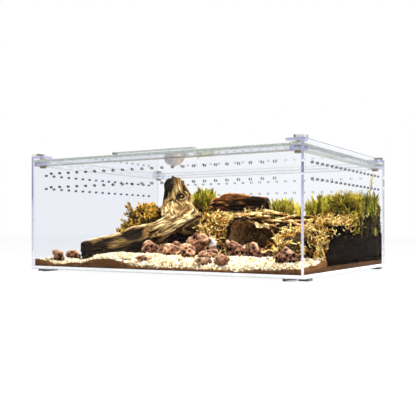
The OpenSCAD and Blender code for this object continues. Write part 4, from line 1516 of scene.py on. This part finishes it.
def make_sprig(material):
    """The one tall stem that stands out of the fern."""
    sprig = Sprout(171)
    run = [(186, 113, 92), (187, 117, 104), (188, 122, 115), (188.5, 124, 125), (189, 127, 133)]
    sprig.stalk(run, 1.1, low=0.5, high=0.9, taper=0.5)
    curve = smooth_run(run, 22)
    for k, at in enumerate(curve):
        heading = around(k * GOLDEN_TURN, 0.7)
        sprig.blade(at, heading, 7.5 - 0.12 * k, 2.2, low=0.5)
    values = {"relief": sprig.relief, "tone": np.ones(len(sprig.points))}
    piece = make_object("fern_sprig", sprig.points, sprig.faces, values)
    return finish_piece(piece, material, "grass", "fern_sprig")


def make_tuft(name, centre, radii, top, sprouts, material, seed, sizes):
    """A grass tuft: a small core that carries tall sprouts."""
    floor = centre[2]
    points, faces, relief = mound_surface(centre, radii, top - floor, flat=0.4, seed=seed, lump=1.5)
    values = {"relief": relief, "cover": ramp(points[:, 2], floor + 1, floor + 5)}
    core = make_object(name, points, faces, values)
    finish_piece(core, bpy.data.materials["moss_core"], "grass", name)
    return spread(name + "_stems", core, sprouts, material, "grass", 20, sizes, 0.85, 0.3, sink=2, seed=seed)


def make_fern_mound(fern, leaf):
    """The fern against the right pane, with the dark pressed moss of the corner left bare."""
    parts = []
    shapes = [((177, 88, 50), (17.5, 56), 43, 0.6, 3.0), ((186, 125, 46), (12.5, 22), 41, 0.45, 7.0)]
    for centre, radii, height, corner, lump in shapes:
        shape = {"flat": 0.7, "seed": 12, "corner": corner, "lump": lump}
        points, faces, relief = mound_surface(centre, radii, height, **shape)
        parts.append((points, faces, {"relief": relief, "cover": 0 * relief}))
    colours = ("100C07", "382E1E", "5E5240", "211A11")
    felt = natural_material("moss_felt", colours, 7, 1.2, 0.6, bump=0.8, bump_mm=0.8)
    bank = finish_piece(make_object("fern_mound", *join_parts(parts)), felt, "green_moss", "fern_mound")
    upper = lambda p: ramp(p[:, 1], 34, 40) * (1 - ramp(p[:, 1], 116, 128) * (1 - ramp(p[:, 2], 74, 84)))
    lower = lambda p: (1 - ramp(p[:, 2], 68, 80)) * ramp(p[:, 1], 40, 60) * upper(p)
    with_cover(bank, lambda p: np.maximum(lower(p), 0.7 * ramp(p[:, 1], 108, 118) * (1 - upper(p))))
    # The low leaves of the fern are painted shade; on the bare corner column the same dark leaves stand for pressed
    # moss.
    spread("fern_shade", bank, fern, leaf["shade_leaf"], "green_moss", 2.6, (0.5, 0.85), 0.2, 0.5, seed=16)
    # Painted shade: the right and rear part of the fern gets the darker, greener copy of the leaf.
    green_in_shade = lambda p: ramp(p[:, 1] + 16 * noise(p, 14, 66), 46, 96)
    with_cover(bank, lambda p: upper(p) * (1 - lower(p)) * (1 - green_in_shade(p)))
    spread("fern_leaves", bank, fern, leaf["fern_leaf"], "green_moss", 2.4, (0.6, 1.2), 0.5, 0.5, seed=12)
    with_cover(bank, lambda p: upper(p) * (1 - lower(p)) * green_in_shade(p))
    spread("fern_greens", bank, fern, leaf["shaded_green_leaf"], "green_moss", 2.4, (0.7, 1.25), 0.5, 0.5, seed=17)


def make_mosses():
    colours = ("0E0B05", "3A2D12", "6B5522", "241B0B")
    core = natural_material("moss_core", colours, 10, 1.2, 0.6, bump=0.8, bump_mm=0.8)
    star = [star_sprout(seed) for seed in (101, 102, 103)]
    spike = [spike_sprout(seed) for seed in (111, 112, 113)]
    fern = [fern_sprout(seed) for seed in (121, 122, 123)]
    curl = [curl_sprout(seed) for seed in (131, 132, 133)]
    leaf = {}
    for name, colours in LEAVES.items():
        leaf[name] = natural_material(name, colours, 26, 2.5, 0.15, patch_share=0.75, bump=0, tone=0.42)

    clumps = lambda p: 0.1 + 0.9 * ramp(noise(p, 13, 33), -0.25, 0.15)
    bank = make_bank("moss_bank_left", "olive_moss", core, (-167, 74, 19), (22, 56), 67, clumps, seed=3, flat=0.5, lump=6)
    spread("moss_left_leaves", bank, star, leaf["olive_leaf"], "olive_moss", 6.5, (0.8, 1.7), 0.3, 0.6, seed=2)
    spread("moss_left_sprigs", bank, star, leaf["olive_leaf"], "olive_moss", 0.5, (1.8, 2.4), 0.4, 0.7, seed=22)

    bank = make_bank("moss_bank_back", "green_moss", core, (-84, 114, 20), (48, 27), 64, clumps, flat=0.6, seed=5)
    spread("moss_back_leaves", bank, star, leaf["olive_leaf"], "green_moss", 6.5, (0.8, 1.7), 0.3, 0.6, seed=3)

    bank = make_bank("moss_bank_centre", "dry_moss", core, (25, 95, 20), (64, 46), 60, everywhere, flat=0.8, seed=7)
    spread("moss_centre_curls", bank, curl, leaf["dry_leaf"], "dry_moss", 5, (0.7, 1.2), 0.2, 0.7, seed=4)
    beside = lambda p: ramp(0.86 * (p[:, 0] - 50) + 0.51 * (p[:, 1] - 80), 2, 9)
    belt = with_cover(bank, lambda p: ramp(p[:, 0], 46, 58) * ramp(p[:, 2], 58, 66) * beside(p))
    spread("grass_belt_centre", belt, spike, leaf["grass_leaf"], "grass", 5, (0.6, 1.45), 0.8, 0.35, seed=5)

    bank = make_bank("moss_bank_right", "dry_moss", core, (138, 62, 20), (22, 68), 42, everywhere, flat=0.6, seed=8)
    spread("moss_right_curls", bank, curl, leaf["straw_leaf"], "dry_moss", 3.2, (0.9, 1.6), 0.3, 0.6, seed=6)
    belt = with_cover(bank, lambda p: ramp(p[:, 1], 22, 36) * ramp(p[:, 2], 50, 60))
    spread("grass_belt_right", belt, spike, leaf["grass_leaf"], "grass", 4.5, (1.0, 2.3), 0.85, 0.3, seed=7)

    bank = make_bank("straw_slope", "dry_moss", core, (146, -44, 15), (26, 44), 35, everywhere, flat=0.4, seed=9, slant=12)
    spread("straw_slope_curls", bank, curl, leaf["straw_leaf"], "dry_moss", 2.2, (0.8, 1.7), 0.3, 0.8, seed=8)

    bank = make_bank("dry_moss_front", "dry_moss", core, (-3, 22, 19), (29, 21), 50, everywhere, flat=0.25, seed=10)
    spread("dry_front_curls", bank, curl, leaf["straw_leaf"], "dry_moss", 4.5, (0.9, 1.6), 0.4, 0.9, seed=10)

    colours = ("050403", "17110D", "3A2C20", "0E0A07")
    peat = natural_material("dark_soil", colours, 10, 1.8, 0.6, bump=0.9, bump_mm=0.9, specular=0.0)
    soil = make_bank_soil(peat)
    spread("bank_straw", soil, curl, leaf["straw_leaf"], "dry_moss", 3, (0.8, 1.5), 0.1, 0.9, seed=14)
    low = lambda p: 1 - ramp(p[:, 2] + 2.5 * noise(p, 7, 67) - 3 * ramp(-p[:, 1], -10, 30), 57, 60)
    before = lambda p: (1 - ramp(p[:, 1], 70, 98)) * (1 - low(p) * ramp(p[:, 0], 184, 190))
    shape = {"flat": 0.8, "seed": 11, "corner": 0.45}
    bank = make_bank("dry_moss_cap", "dry_moss", peat, (177, 42, 42), (19, 88), 20, before, **shape)
    spread("dry_cap_curls", bank, curl, leaf["straw_leaf"], "dry_moss", 3.2, (0.8, 1.7), 0.2, 0.9, seed=11)

    make_fern_mound(fern, leaf)
    make_sprig(leaf["grass_leaf"])
    make_tuft("grass_tuft_back", (-84, 116, 82), (21, 10), 94, spike, leaf["grass_leaf"], 13, (0.8, 2.0))
    make_tuft("grass_tuft_centre", (54, 112, 77), (10, 8), 84, spike, leaf["grass_leaf"], 14, (0.7, 1.3))
    make_tuft("grass_tuft_right", (137, 77, 62), (14, 12), 70, spike, leaf["grass_leaf"], 15, (1.3, 2.4))


def make_landscape():
    make_chips(make_soil())
    wood = driftwood_material()
    make_limb(wood)
    make_stump(wood)
    make_slab()
    make_hide()
    make_rocks()
    make_mosses()


def clear_helpers():
    """Removes the shapes that were only spread."""
    for piece in list(bpy.data.objects):
        if "_sprout_" in piece.name or piece.name.startswith("wood_chip_"):
            bpy.data.objects.remove(piece)


make_stage()
finish_box()
make_landscape()
clear_helpers()
